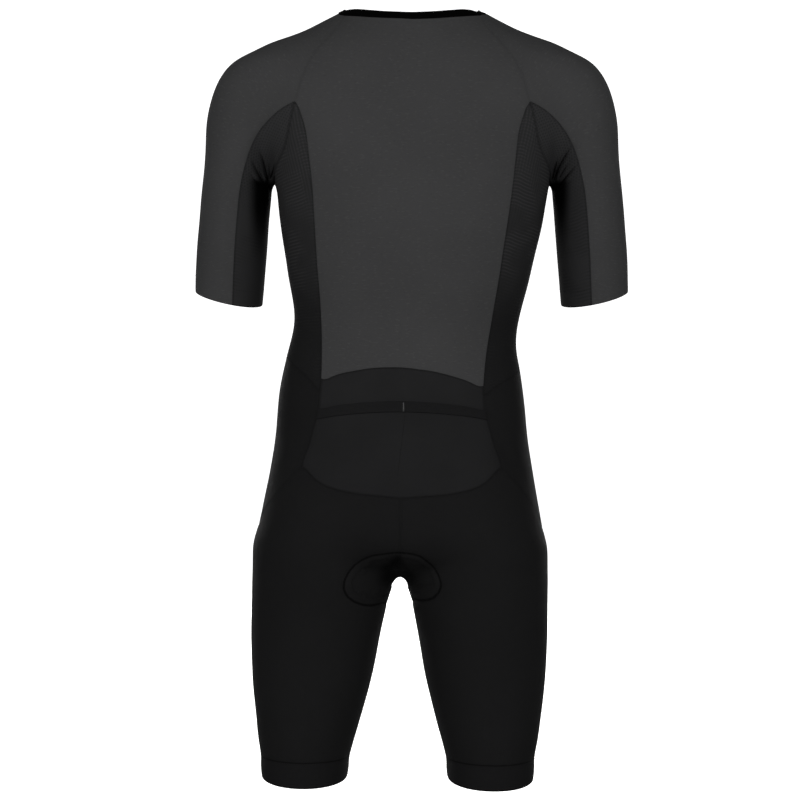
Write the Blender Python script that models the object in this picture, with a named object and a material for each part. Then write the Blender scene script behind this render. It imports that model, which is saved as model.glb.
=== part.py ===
"""Triathlon suit: a one-piece suit with raglan short sleeves and knee shorts, filled out as worn.

The suit is hollow and open at the neck, cuffs and legs. Its origin is the high point of the
shoulders, where the wearer carries it: +Z is up, the front faces -Y and the wearer's left is +X.
A smooth form gives the outer face of the cloth. The seams are curves drawn on that form, each
one sampled once and shared by the pieces on both sides of it, and each piece is a grid between
its seams, thickened inwards into a wall.
"""
import math

import bmesh
import bpy
import numpy as np
from mathutils.bvhtree import BVHTree

# Driving dimensions, in metres
WALL = 0.0013  # cloth thickness
SEAM_GAP = 0.0003  # clear space between neighbouring pieces
BAND_WALL = 0.0020  # turned bands: hem grippers and the pocket's mouth
BINDING_HEIGHT = 0.007
BINDING_PROUD = 0.0006  # how far the neck binding stands out from the cloth, on both faces
POCKET_WALL = 0.0011
PAD_THICKNESS = 0.0060
PAD_EDGE = 0.0015

CUFF_HEIGHT = -0.3545  # where the arm's centre line passes through the cuff
CUFF_BACK_DROP = math.radians(12)  # the cuff's plane is lower at the back
CUFF_INNER_DROP = math.radians(13)  # and at the inner side
CUFF_SEAM_ANGLE = math.radians(-9)  # sleeve seam at the cuff, from the arm's back inwards
GRIPPER_HEIGHT = -0.9260  # seam between leg and gripper
HEM_HEIGHT = -0.9525
HEM_BACK_DROP = math.radians(5)
GRIPPER_PINCH = 0.0012  # how far the leg is drawn in at the gripper's seam
PINCH_SPREAD = 0.007

ZIP_HALF = 0.0034  # half the opening between the front edges, which the zip's chain fills
ZIP_TAPE = 0.0120  # each tape, from the middle
TAPE_WALL = 0.0010
CHAIN_PROUD = 0.0004
SLIDER_WIDTH, SLIDER_LENGTH = 0.0096, 0.0120
SLIDER_BASE, SLIDER_LUGS = 0.0022, 0.0030  # heights of the slider's plate and of its two lugs
SLIDER_DOWN = 0.0080  # from the top of the chain to the slider's middle
PULL_WIDTH, PULL_LENGTH, PULL_PLATE = 0.0056, 0.0240, 0.0014
PULL_BARREL = 0.0011  # radius of the pull's hinge barrel

# Seam pieces: how many cells each shared seam has
CELLS_BACK = 6  # half the back, neck or pocket
CELLS_SIDE = 6  # half the side panel, front or back
CELLS_RAGLAN = 6
CELLS_PRINCESS = 13  # back to side panel, from the raglan's end to the waist
CELLS_SLEEVE = 12  # round the outer sleeve
CELLS_ARM = 11  # from the raglan's end to the cuff
CELLS_POCKET = 4  # below the pocket's band
CELLS_SEAT = 8  # centre seam, from the pocket to the crotch
CELLS_INSEAM = 10
CELLS_GRIPPER = 2

TORSO = (
    # height, half_width, middle, back, front, roundness
    (0.030, 0.0700, -0.006, 0.056, 0.060, 2.0),
    (0.006, 0.0770, -0.005, 0.058, 0.062, 2.0),
    (0.000, 0.0890, -0.004, 0.060, 0.064, 2.0),
    (-0.020, 0.1260, 0.000, 0.067, 0.067, 2.0),
    (-0.046, 0.1755, 0.002, 0.079, 0.078, 2.1),
    (-0.080, 0.2070, 0.003, 0.091, 0.090, 2.2),
    (-0.130, 0.2020, 0.003, 0.102, 0.105, 2.3),
    (-0.190, 0.1780, 0.002, 0.110, 0.118, 2.3),
    (-0.225, 0.1690, 0.001, 0.111, 0.121, 2.3),
    (-0.260, 0.1640, 0.000, 0.110, 0.122, 2.3),
    (-0.334, 0.1498, -0.004, 0.102, 0.116, 2.3),
    (-0.396, 0.1390, -0.006, 0.096, 0.110, 2.25),
    (-0.460, 0.1504, -0.006, 0.104, 0.110, 2.25),
    (-0.530, 0.1575, -0.004, 0.118, 0.109, 2.3),
    (-0.600, 0.1630, -0.002, 0.128, 0.107, 2.3),
    (-0.640, 0.1600, -0.002, 0.126, 0.104, 2.3),
    (-0.664, 0.1450, -0.002, 0.116, 0.097, 2.2),
    (-0.681, 0.1150, -0.002, 0.096, 0.082, 2.1),
    (-0.691, 0.0750, -0.002, 0.066, 0.056, 2.0),
    (-0.697, 0.0200, -0.002, 0.020, 0.018, 2.0),
)
ARM = (
    # height, centre, half_width, middle, back, front, roundness
    (-0.045, 0.1650, 0.0150, 0.006, 0.022, 0.022, 2.0),
    (-0.060, 0.1720, 0.0430, 0.006, 0.044, 0.044, 2.0),
    (-0.084, 0.1840, 0.0560, 0.006, 0.053, 0.053, 2.0),
    (-0.134, 0.2030, 0.0530, 0.001, 0.056, 0.056, 2.0),
    (-0.171, 0.2110, 0.0475, -0.006, 0.056, 0.056, 2.0),
    (-0.205, 0.2180, 0.0440, -0.012, 0.055, 0.055, 2.05),
    (-0.234, 0.2214, 0.0439, -0.018, 0.054, 0.054, 2.05),
    (-0.297, 0.2275, 0.0443, -0.030, 0.051, 0.051, 2.05),
    (-0.346, 0.2313, 0.0432, -0.040, 0.050, 0.050, 2.05),
    (-0.400, 0.2348, 0.0417, -0.051, 0.049, 0.049, 2.05),
)
LEG = (
    # height, centre, half_width, middle, back, front, roundness
    (-0.560, 0.0820, 0.0640, -0.002, 0.100, 0.084, 2.1),
    (-0.600, 0.0860, 0.0760, -0.002, 0.114, 0.096, 2.1),
    (-0.634, 0.0915, 0.0820, -0.002, 0.118, 0.100, 2.1),
    (-0.665, 0.0950, 0.0885, -0.002, 0.116, 0.100, 2.1),
    (-0.700, 0.0965, 0.0880, -0.002, 0.108, 0.098, 2.1),
    (-0.734, 0.1000, 0.0850, -0.002, 0.100, 0.094, 2.1),
    (-0.784, 0.1050, 0.0800, -0.002, 0.091, 0.088, 2.1),
    (-0.834, 0.1085, 0.0740, -0.001, 0.084, 0.082, 2.1),
    (-0.884, 0.1125, 0.0645, 0.000, 0.078, 0.076, 2.1),
    (-0.934, 0.1155, 0.0555, 0.002, 0.071, 0.070, 2.1),
    (-0.985, 0.1160, 0.0510, 0.003, 0.066, 0.065, 2.1),
)
ARMPIT_BLEND = 0.010  # how softly arm and torso run together at the armpit
SHOULDER_BLEND = 0.030  # and above it
ARMPIT_TOP, SHOULDER_LOW = -0.195, -0.150
HIP_BLEND = 0.026
CROTCH_BLEND = 0.012
FOLDS = (
    # Folds that run up from the armpit: 1 on the back or -1 on the front, lower end out from the
    # middle and its height, upper end the same, half width, depth
    (1, 0.1785, -0.2080, 0.1925, -0.1890, 0.0080, 0.0026),
    (1, 0.1640, -0.2040, 0.1560, -0.1800, 0.0080, 0.0018),
    (-1, 0.1800, -0.2060, 0.1950, -0.1860, 0.0080, 0.0024),
    (-1, 0.1630, -0.2050, 0.1540, -0.1850, 0.0080, 0.0016),
)
FOLD_FADE = 0.016  # how far from the arm's middle a fold reaches its full depth
LEAN = (
    # height, how far the body's middle line lies to the wearer's left
    (0.030, 0.0000),
    (-0.200, 0.0000),
    (-0.284, 0.0030),
    (-0.384, 0.0076),
    (-0.434, 0.0108),
    (-0.484, 0.0130),
    (-0.584, 0.0134),
    (-0.684, 0.0148),
    (-0.784, 0.0160),
    (-0.985, 0.0186),
)
ARMS_APART = (0.166, 0.175)  # out from the middle: the body leans up to the first, arms stay past the second
ARMS_END = -0.400  # height below which there is only the body

NECKLINE = (
    # angle from the centre back in degrees, height of the binding's lower edge
    (0, -0.0190),
    (35, -0.0165),
    (63, -0.0105),
    (90, 0.0000),
    (117, -0.0105),
    (150, -0.0450),
    (180, -0.0680),
)
RAGLAN_ANGLE = 63  # where the raglan seam leaves the neckline

RAGLAN = (
    # out from the middle, height
    (0.0994, -0.0389),
    (0.1230, -0.0678),
    (0.1312, -0.0850),
)
APEX = (0.1425, -0.1225)
PRINCESS = (
    (0.1317, -0.1447),
    (0.1267, -0.1715),
    (0.1236, -0.2018),
    (0.1188, -0.2438),
    (0.1140, -0.2920),
    (0.1106, -0.3277),
    (0.1059, -0.3634),
    (0.1025, -0.3994),
    (0.0989, -0.4355),
)
WAIST_CORNER = (0.0980, -0.4645)
WAIST_ARCH_HEIGHT = -0.4452  # at the middle
SIDE_TIP = (0.0989, -0.4755)
BAND_TOP = (0.1000, -0.4966)
BAND_TOP_MIDDLE = -0.4870
BAND_FOOT = (0.1022, -0.5075)
BAND_FOOT_MIDDLE = -0.4985
POCKET_SIDE = ((0.1085, -0.5300),)
POCKET_CORNER = (0.1188, -0.5640)
POCKET_FOOT = (
    (0.0965, -0.5845),
    (0.0606, -0.5950),
    (0.0000, -0.6000),
)
ARMHOLE = (
    (0.1455, -0.1305),
    (0.1480, -0.1470),
    (0.1520, -0.1607),
    (0.1561, -0.1791),
)
SLEEVE_SEAM = (
    (0.1529, -0.1265),
    (0.1647, -0.1330),
    (0.1753, -0.1419),
    (0.1900, -0.1581),
    (0.2025, -0.1851),
    (0.2110, -0.2150),
    (0.2170, -0.2600),
    (0.2215, -0.3100),
)
HIP_TOP = (
    (0.1117, -0.4650),
    (0.1234, -0.4560),
)
HIP_TOP_SIDE = -0.4350  # height at the side of the waist
HIP_SEAM = (
    (0.1411, -0.5865),
    (0.1600, -0.6110),
)
HIP_SEAM_SIDE = -0.6400

# Places from which the guide lines inside the sleeves, underarms and legs are cast onto the cloth
ARMPIT_SEARCH = (0.166, 0.184)  # out from the middle
SLEEVE_TOP = (
    # out from the middle, height
    (0.06, -0.10),
    (0.10, -0.12),
    (0.14, -0.14),
    (0.17, -0.17),
)
SLEEVE_TOP_DEPTH, SLEEVE_TOP_LEAN = 0.003, 0.45
OUTER_ARM = (-0.10, -0.14, -0.20, -0.26, -0.32)
INNER_ARM = (-0.235, -0.27, -0.31)
OUTER_LEG = (-0.69, -0.74, -0.79, -0.84, -0.89)
INNER_ARM_REACH, INNER_LEG_REACH = 0.06, 0.09  # short of the torso and of the other leg
INSEAM_START = 0.010  # below the crotch

PAD_ANGLES = (-14, -166)  # round the crotch in the middle plane, from the back under to the front
PAD_CENTRE = (0.0, -0.640)  # depth and height that those angles turn about
PAD_OUTLINE = (
    # share of the pad's length, half width
    (0.00, 0.016),
    (0.04, 0.036),
    (0.10, 0.064),
    (0.18, 0.079),
    (0.27, 0.068),
    (0.38, 0.050),
    (0.52, 0.040),
    (0.72, 0.036),
    (0.92, 0.028),
    (1.00, 0.012),
)
PAD_CELLS = (7, 24)  # across each half, along
PAD_GAP = 0.0007  # clear of the legs' inner faces
PAD_SEARCH = 0.020  # how far inside the cloth the search for those faces starts
PAD_ASIDE = 0.0015  # and how far beside the middle seam, on that seam
PAD_ROUNDS = 8  # how often the pad is drawn in from the cloth
PAD_SHARES = np.linspace(0.1, 0.9, 9)  # where each side of a cell is held against the cloth

FINISHES = {
    # name: colour, roughness
    "grey_knit": ((0.042, 0.042, 0.043), 0.75),
    "ribbed_mesh": ((0.016, 0.016, 0.017), 0.80),
    "dimple_mesh": ((0.013, 0.013, 0.014), 0.80),
    "black_lycra": ((0.009, 0.009, 0.010), 0.62),
    "binding": ((0.003, 0.003, 0.003), 0.70),
    "pad_foam": ((0.012, 0.012, 0.013), 0.90),
    "zip_moulded": ((0.010, 0.010, 0.010), 0.40),
}


RIM_ORDER = np.array([0.37, 0.11, 1.0])  # a direction that no seam runs square to
NEAREST = 0.004  # no part of the form lies nearer to its own centre lines
LEAN_STEP = 0.004  # over which the lean's slope is taken
EVENING = 0.6  # how far a grid point goes towards its neighbours' mean each round
EVENING_ROUNDS, SHORT_ROUNDS, LEG_ROUNDS = 24, 8, 40  # how often: most pieces, the lumbar's strips, legs
SETTLE_FIRST, SETTLE_EACH, SETTLE_LAST = 20, 2, 6  # steps onto the form before, between and after them

# The form that the cloth follows

def rows_at(table, height):
    """Columns of a table of sections, read smoothly at the given heights."""
    rows = np.asarray(table)
    h, values = rows[:, 0], rows[:, 1:]
    rise = np.diff(values, axis=0) / np.diff(h)[:, None]
    tangent = np.gradient(values, h, axis=0)
    low = 3 * np.minimum(abs(rise[:-1]), abs(rise[1:]))
    tangent[1:-1] = np.where(rise[:-1] * rise[1:] > 0, np.clip(tangent[1:-1], -low, low), 0)
    height = np.clip(height, h[-1], h[0])
    k = np.clip(np.searchsorted(-h, -height, side="right") - 1, 0, len(h) - 2)
    span = (h[k + 1] - h[k])[:, None]
    s = (height - h[k])[:, None] / span
    start = (2 * s**3 - 3 * s**2 + 1) * values[k] + (s**3 - 2 * s**2 + s) * tangent[k] * span
    end = (3 * s**2 - 2 * s**3) * values[k + 1] + (s**3 - s**2) * tangent[k + 1] * span
    return (start + end).T


def ring_distance(x, y, half_width, back, front, roundness):
    """Distance from a rounded section, measured along the line from its centre."""
    depth = np.where(y > 0, back, front)
    ratio = ((abs(x) / half_width) ** roundness + (abs(y) / depth) ** roundness) ** (1 / roundness)
    radius = np.hypot(x, y)
    return radius - radius / np.maximum(ratio, 1e-9)


def blend(a, b, width):
    """The nearer of two distances, run together over a width."""
    share = np.clip(0.5 + 0.5 * (b - a) / width, 0, 1)
    return b + (a - b) * share - width * share * (1 - share)


def folds(x, y, z):
    """How far the folds at the armpits draw the cloth in."""
    depth_in = np.zeros_like(x)
    arm_middle = rows_at(ARM, z)[2]
    for face, x_low, z_low, x_high, z_high, half_width, depth in FOLDS:
        run = np.array([x_high - x_low, z_high - z_low])
        from_low = np.stack([abs(x) - x_low, z - z_low])
        along = np.clip(run @ from_low / (run @ run), 0, 1)
        away = np.hypot(*(from_low - run[:, None] * along))
        share = np.clip(face * (y - arm_middle) / FOLD_FADE, 0, 1)
        depth_in += depth * share**2 * (3 - 2 * share) * np.exp(-((away / half_width) ** 2))
    return depth_in


def form(points):
    """Distance outwards from the form: below zero inside it."""
    x, y, z = points.T
    half_width, middle, back, front, roundness = rows_at(TORSO, z)
    torso = ring_distance(x, y - middle, half_width, back, front, roundness)
    torso = np.maximum(torso, TORSO[-1][0] - z)
    centre, half_width, middle, back, front, roundness = rows_at(ARM, z)
    arm = ring_distance(abs(x) - centre, y - middle, half_width, back, front, roundness)
    arm = np.maximum(arm, z - ARM[0][0])
    centre, half_width, middle, back, front, roundness = rows_at(LEG, z)
    pinch = GRIPPER_PINCH * np.exp(-(((z - GRIPPER_HEIGHT) / PINCH_SPREAD) ** 2))
    sizes = (half_width - pinch, back - pinch, front - pinch, roundness)
    legs = [ring_distance(x - side * centre, y - middle, *sizes) for side in (1, -1)]
    legs = np.maximum(blend(*legs, CROTCH_BLEND), z - LEG[0][0])
    share = np.clip((z - ARMPIT_TOP) / (SHOULDER_LOW - ARMPIT_TOP), 0, 1)
    arm_blend = ARMPIT_BLEND + (SHOULDER_BLEND - ARMPIT_BLEND) * share**2 * (3 - 2 * share)
    return blend(blend(torso, arm, arm_blend), legs, HIP_BLEND) + folds(x, y, z)


def steepest(points, step=2e-4):
    """Gradient of the form."""
    found = np.empty_like(points)
    for axis in range(3):
        shift = np.zeros(3)
        shift[axis] = step
        found[:, axis] = (form(points + shift) - form(points - shift)) / (2 * step)
    return found


def unit(vectors):
    return vectors / np.maximum(np.linalg.norm(vectors, axis=-1, keepdims=True), 1e-12)


def normals(grid):
    """Outward normals of the form at a grid of points."""
    return unit(steepest(grid.reshape(-1, 3))).reshape(grid.shape)


def settle(points, rounds=10, longest=0.02):
    """Points moved onto the form, along its gradient."""
    points = np.array(points, float)
    shape = points.shape
    points = points.reshape(-1, 3)
    for _ in range(rounds):
        gradient = steepest(points)
        size = np.maximum((gradient**2).sum(1), 1e-4)
        move = -(form(points) / size)[:, None] * gradient
        length = np.maximum(np.linalg.norm(move, axis=1, keepdims=True), 1e-12)
        points = points + move * np.minimum(1, longest / length)
    return points.reshape(shape)


def cast(origin, direction, reach=0.30, steps=300):
    """First place where a line from the origin crosses the form."""
    origin = np.asarray(origin, float)
    direction = unit(np.asarray(direction, float))
    along = np.linspace(NEAREST, reach, steps)
    values = form(origin + along[:, None] * direction)
    k = np.flatnonzero(np.sign(values[1:]) != np.sign(values[:-1]))[0]
    low, high = along[k], along[k + 1]
    for _ in range(30):
        middle = (low + high) / 2
        same = np.sign(form((origin + middle * direction)[None])[0]) == np.sign(values[k])
        low, high = (middle, high) if same else (low, middle)
    return origin + (low + high) / 2 * direction


def axis_at(table, height):
    """Centre of a table's section at a height."""
    columns = rows_at(table, np.array([height]))[:, 0]
    if len(columns) == 5:
        return np.array([0.0, columns[1], height])
    return np.array([columns[0], columns[2], height])


# Points and seams on the form. A face is 1 for the back and -1 for the front.

def on_face(x, z, face, table=TORSO):
    """The point of the back or front face at a width and height."""
    return cast((x, axis_at(table, z)[1], z), (0, face, 0))


def at_side(z):
    """The point at the side of the torso or hip, at a height."""
    return cast(axis_at(TORSO, z), (1, 0, 0))


def on_neckline(angle):
    """The point of the neckline at an angle from the centre back."""
    angles, heights = np.array(NECKLINE, float).T
    table = [(-a, h) for a, h in zip(angles, heights)]
    z = float(rows_at(table, np.array([-angle]))[0, 0])
    turn = math.radians(angle)
    return cast(axis_at(TORSO, z), (math.sin(turn), math.cos(turn), 0))


def dense_curve(points, per_span=12):
    """A smooth curve through points, laid on the form."""
    points = np.array(points, float)
    spans = np.linalg.norm(np.diff(points, axis=0), axis=1)
    at = np.concatenate([[0], np.cumsum(np.sqrt(spans))])
    if len(points) == 2:
        s = np.linspace(0, 1, 2 * per_span)[:, None]
        return settle(points[0] * (1 - s) + points[1] * s)
    tangent = np.gradient(points, at, axis=0)
    out = []
    for k in range(len(points) - 1):
        width = at[k + 1] - at[k]
        s = np.linspace(0, 1, per_span, endpoint=k == len(points) - 2)[:, None]
        out.append((2 * s**3 - 3 * s**2 + 1) * points[k] + (s**3 - 2 * s**2 + s) * tangent[k] * width
                   + (3 * s**2 - 2 * s**3) * points[k + 1] + (s**3 - s**2) * tangent[k + 1] * width)
    return settle(np.concatenate(out))


def spaced(curve, cells, growth):
    """A curve resampled into cells, the last of which is so many times as long as the first."""
    length = np.concatenate([[0], np.cumsum(np.linalg.norm(np.diff(curve, axis=0), axis=1))])
    steps = growth ** (np.arange(cells) / max(cells - 1, 1))
    wanted = length[-1] * np.concatenate([[0], np.cumsum(steps) / steps.sum()])
    return np.stack([np.interp(wanted, length, curve[:, k]) for k in range(3)], axis=1)


def seam(points, cells, growth=1.0):
    """A seam through the given points, with its cells' corners on the form."""
    found = settle(spaced(dense_curve(points), cells, growth))
    found[0], found[-1] = points[0], points[-1]
    return found


def arch(height, end, face):
    """A seam from the middle plane to a point, level in the middle and bent like a bow."""
    x, z = end
    shares = np.linspace(0, 1, 4)
    return seam([on_face(share * x, height + share**2 * (z - height), face) for share in shares], CELLS_BACK)


def join(*seams):
    """Seams run together, end to end."""
    return np.concatenate([seams[0]] + [s[1:] for s in seams[1:]])


def ring(centre, back, out, reach=0.15):
    """A function of an angle that gives the form's edge in the plane of two directions."""
    def point(angle):
        return cast(centre, math.cos(angle) * back + math.sin(angle) * out, reach)
    return point


def armpit_point():
    """Top of the arch between the arm and the torso."""
    depth = axis_at(ARM, ARMPIT_TOP)[1]
    tops = [cast((x, depth, CUFF_HEIGHT), (0, 0, 1)) for x in np.linspace(*ARMPIT_SEARCH, 37)]
    return max(tops, key=lambda p: p[2])


def make_seams():
    """Every seam of the wearer's left half, by name; those with a face have one for each."""
    s = {}
    armpit = armpit_point()
    arm_centre = axis_at(ARM, CUFF_HEIGHT)
    cuff = ring(
        arm_centre,
        unit(np.array([0, math.cos(CUFF_BACK_DROP), -math.sin(CUFF_BACK_DROP)])),
        unit(np.array([math.cos(CUFF_INNER_DROP), 0, math.sin(CUFF_INNER_DROP)])),
    )
    crotch = cast((0, 0, PAD_CENTRE[1]), (0, 0, -1))
    for face, side in ((1, "back"), (-1, "front")):
        def table(rows, on=TORSO):
            return [on_face(x, z, face, on) for x, z in rows]

        def angle(a):
            return a if face == 1 else 180 - a

        apex = on_face(*APEX, face)
        waist, tip = on_face(*WAIST_CORNER, face), on_face(*SIDE_TIP, face)
        band_top, band_foot = on_face(*BAND_TOP, face), on_face(*BAND_FOOT, face)
        corner = on_face(*POCKET_CORNER, face)
        neck = on_neckline(angle(RAGLAN_ANGLE))
        s["raglan", side] = seam([neck, *table(RAGLAN), apex], CELLS_RAGLAN)
        s["princess", side] = seam([apex, *table(PRINCESS), waist], CELLS_PRINCESS, 2.2)
        s["tip", side] = seam([waist, tip], 1)
        s["pocket_side", side] = join(
            seam([tip, band_top], 1),
            seam([band_top, band_foot], 1),
            seam([band_foot, *table(POCKET_SIDE), corner], CELLS_POCKET),
        )
        s["armhole", side] = seam([apex, *table(ARMHOLE), armpit], CELLS_SIDE, 0.6)
        seam_end = cuff(CUFF_SEAM_ANGLE if face == 1 else math.pi - CUFF_SEAM_ANGLE)
        on_arm = [*table(SLEEVE_SEAM[:4]), *table(SLEEVE_SEAM[4:], ARM)]
        s["sleeve", side] = seam([apex, *on_arm, seam_end], CELLS_ARM, 1.6)
        s["hip_top", side] = seam([tip, *table(HIP_TOP), at_side(HIP_TOP_SIDE)], CELLS_SIDE)
        s["hip_seam", side] = seam([corner, *table(HIP_SEAM), at_side(HIP_SEAM_SIDE)], CELLS_SIDE)
        s["pocket_foot", side] = seam([*table(POCKET_FOOT[::-1]), corner], CELLS_BACK)
        s["waist_arch", side] = arch(WAIST_ARCH_HEIGHT, WAIST_CORNER, face)
        start = np.array(s["pocket_foot", side][0])
        turn = math.atan2(start[2] - PAD_CENTRE[1], face * start[1])
        turns = np.linspace(turn, -math.pi / 2, 9)
        points = [cast((0, 0, PAD_CENTRE[1]), (0, face * math.cos(t), math.sin(t))) for t in turns]
        s["seat", side] = seam([start, *points[1:-1], crotch], CELLS_SEAT, 0.5)
    s["band_top"] = arch(BAND_TOP_MIDDLE, BAND_TOP, 1)
    s["band_foot"] = arch(BAND_FOOT_MIDDLE, BAND_FOOT, 1)
    s["neck_back"] = seam([on_neckline(a) for a in np.linspace(0, RAGLAN_ANGLE, 6)], CELLS_BACK)
    s["neck_top"] = seam(
        [on_neckline(a) for a in np.linspace(RAGLAN_ANGLE, 180 - RAGLAN_ANGLE, 7)], CELLS_SLEEVE)
    neck_front = dense_curve([on_neckline(a) for a in np.linspace(180 - RAGLAN_ANGLE, 180, 7)])
    neck_front = neck_front[neck_front[:, 0] > ZIP_HALF]
    zip_top = on_face(ZIP_HALF, neck_front[-1][2], -1)
    s["neck_front"] = seam([*neck_front[:-1:8], zip_top], CELLS_BACK)[::-1]
    first, last = CUFF_SEAM_ANGLE, math.pi - CUFF_SEAM_ANGLE
    s["cuff_out"] = seam([cuff(a) for a in np.linspace(first, last, 13)], CELLS_SLEEVE)
    s["cuff_in"] = seam([cuff(a) for a in np.linspace(first, last - 2 * math.pi, 13)], 2 * CELLS_SIDE)
    heights = np.linspace(crotch[2] - INSEAM_START, GRIPPER_HEIGHT, 9)
    inseam = [cast(axis_at(LEG, z), (-1, 0, 0), INNER_LEG_REACH) for z in heights]
    s["inseam"] = seam([crotch, *inseam], CELLS_INSEAM, 3.0)
    around = 2 * (CELLS_BACK + CELLS_SIDE)
    turns = np.linspace(-math.pi / 2, 1.5 * math.pi, around + 1)
    leg = ring(axis_at(LEG, GRIPPER_HEIGHT), np.array([0, 1.0, 0]), np.array([1.0, 0, 0]))
    s["gripper"] = seam([inseam[-1], *(leg(t) for t in turns[1:-1]), inseam[-1]], around)
    hem_down = np.array([0, math.cos(HEM_BACK_DROP), -math.sin(HEM_BACK_DROP)])
    hem = ring(axis_at(LEG, HEM_HEIGHT), hem_down, np.array([1.0, 0, 0]))
    s["hem"] = seam([hem(t) for t in turns], around)
    s["armpit"], s["crotch"] = armpit, crotch
    return s


# Grids between seams

def coons(top, bottom, left, right):
    """A grid between four seams: top and bottom run the same way, left and right run down."""
    across = np.linspace(0, 1, len(top))[None, :, None]
    down = np.linspace(0, 1, len(left))[:, None, None]
    corners = ((1 - down) * ((1 - across) * top[0] + across * top[-1])
               + down * ((1 - across) * bottom[0] + across * bottom[-1]))
    return ((1 - down) * top[None] + down * bottom[None]
            + (1 - across) * left[:, None] + across * right[:, None] - corners)


def relaxed(grid, rounds=EVENING_ROUNDS):
    """A grid laid on the form and evened out, with its edges kept."""
    edge = grid.copy()
    inner = (slice(1, -1), slice(1, -1))
    grid[inner] = settle(grid[inner], SETTLE_FIRST)
    for _ in range(rounds):
        mean = (grid[:-2, 1:-1] + grid[2:, 1:-1] + grid[1:-1, :-2] + grid[1:-1, 2:]) / 4
        grid[inner] = settle((1 - EVENING) * grid[inner] + EVENING * mean, SETTLE_EACH)
    grid[inner] = settle(grid[inner], SETTLE_LAST)
    grid[0], grid[-1], grid[:, 0], grid[:, -1] = edge[0], edge[-1], edge[:, 0], edge[:, -1]
    return grid


def mirrored(grid):
    """The same grid on the wearer's right."""
    return grid[:, ::-1] * np.array([-1, 1, 1])


def both_sides(seam_points):
    """A seam that starts on the middle plane, continued to the other side."""
    return join(seam_points[::-1] * np.array([-1, 1, 1]), seam_points)


def rim_of(rows, columns):
    """The grid places round its edge, in order."""
    return ([(0, c) for c in range(columns)] + [(r, columns - 1) for r in range(1, rows)]
            + [(rows - 1, c) for c in range(columns - 2, -1, -1)] + [(r, 0) for r in range(rows - 2, 0, -1)])


def drawn_in(grid, facing, distance):
    """A grid whose edge is drawn in by a distance, in the plane of the cloth."""
    grid = grid.copy()
    places = rim_of(*grid.shape[:2])
    loop = np.array([grid[p] for p in places])
    up = np.array([facing[p] for p in places])
    ahead = np.roll(loop, -1, axis=0) - loop
    inward_ahead = unit(np.cross(up, ahead))
    inward_behind = unit(np.cross(up, np.roll(ahead, 1, axis=0)))
    corner = grid[1, 1] - loop[0]
    if np.dot(inward_ahead[0] + inward_behind[0], corner) < 0:
        inward_ahead, inward_behind = -inward_ahead, -inward_behind
    share = 1 + np.maximum((inward_ahead * inward_behind).sum(1, keepdims=True), -0.6)
    moves = distance * (inward_ahead + inward_behind) / share
    for place, move in zip(places, moves):
        grid[place] += move
    return grid


def wall_mesh(outer, inner):
    """Points and triangles of a closed wall between two like grids."""
    rows, columns = outer.shape[:2]
    points = np.concatenate([outer.reshape(-1, 3), inner.reshape(-1, 3)])
    back = rows * columns
    faces = []
    for r in range(rows - 1):
        for c in range(columns - 1):
            a = r * columns + c
            for face in ((a, a + columns, a + columns + 1), (a, a + columns + 1, a + 1)):
                faces.append(face)
                faces.append(tuple(back + k for k in reversed(face)))
    rim = [r * columns + c for r, c in rim_of(rows, columns)]
    # Two neighbours split their facing rims along the same diagonal, so that they stay parallel
    order = np.abs(points[:, :1]) @ RIM_ORDER[:1] + points[:, 1:] @ RIM_ORDER[1:]
    for a, b in zip(rim, rim[1:] + rim[:1]):
        if order[a] > order[b]:
            faces += [(a, b, back + b), (a, back + b, back + a)]
        else:
            faces += [(a, b, back + a), (b, back + b, back + a)]
    return points, faces


def finish_of(name):
    """The material of a finish."""
    found = bpy.data.materials.get(name)
    if found:
        return found
    colour, roughness = FINISHES[name]
    made = bpy.data.materials.new(name)
    made.use_nodes = True
    shader = made.node_tree.nodes["Principled BSDF"]
    shader.inputs["Base Color"].default_value = (*colour, 1)
    shader.inputs["Roughness"].default_value = roughness
    shader.inputs["Metallic"].default_value = 0
    return made


def add_object(name, points, faces, finish, smooth=True):
    """A named object made from points and faces."""
    mesh = bpy.data.meshes.new(name)
    mesh.from_pydata([tuple(p) for p in points], [], faces)
    shape = bmesh.new()
    shape.from_mesh(mesh)
    bmesh.ops.recalc_face_normals(shape, faces=shape.faces)
    shape.to_mesh(mesh)
    shape.free()
    mesh.materials.append(finish_of(finish))
    if smooth:
        mesh.shade_smooth()
        mesh.set_sharp_from_angle(angle=math.radians(50))
    made = bpy.data.objects.new(name, mesh)
    bpy.context.scene.collection.objects.link(made)
    return made


def add_cloth(name, grid, finish, wall=WALL, out=0.0):
    """A cloth piece: its outer face lies a little out from the grid and its wall goes inwards."""
    facing = normals(grid)
    grid = drawn_in(grid, facing, SEAM_GAP / 2)
    outer = grid + out * facing
    points, faces = wall_mesh(outer, outer - wall * facing)
    return add_object(name, points, faces, finish)


def add_pair(name, grid, finish, **options):
    """A cloth piece on the wearer's left and its mirror image on the right."""
    add_cloth(name + "_left", grid, finish, **options)
    add_cloth(name + "_right", mirrored(grid), finish, **options)


# Pieces

def add_back(s):
    side = join(s["raglan", "back"], s["princess", "back"])
    grid = coons(both_sides(s["neck_back"]), both_sides(s["waist_arch", "back"]),
                 side * np.array([-1, 1, 1]), side)
    add_cloth("back_panel", relaxed(grid), "grey_knit")


def zip_heights(s):
    """Heights of the cells down the front edges, which the zip shares."""
    top, foot = s["neck_front"][0][2], s["waist_arch", "front"][0][2]
    return np.linspace(top, foot, CELLS_RAGLAN + CELLS_PRINCESS + 1)


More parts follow.
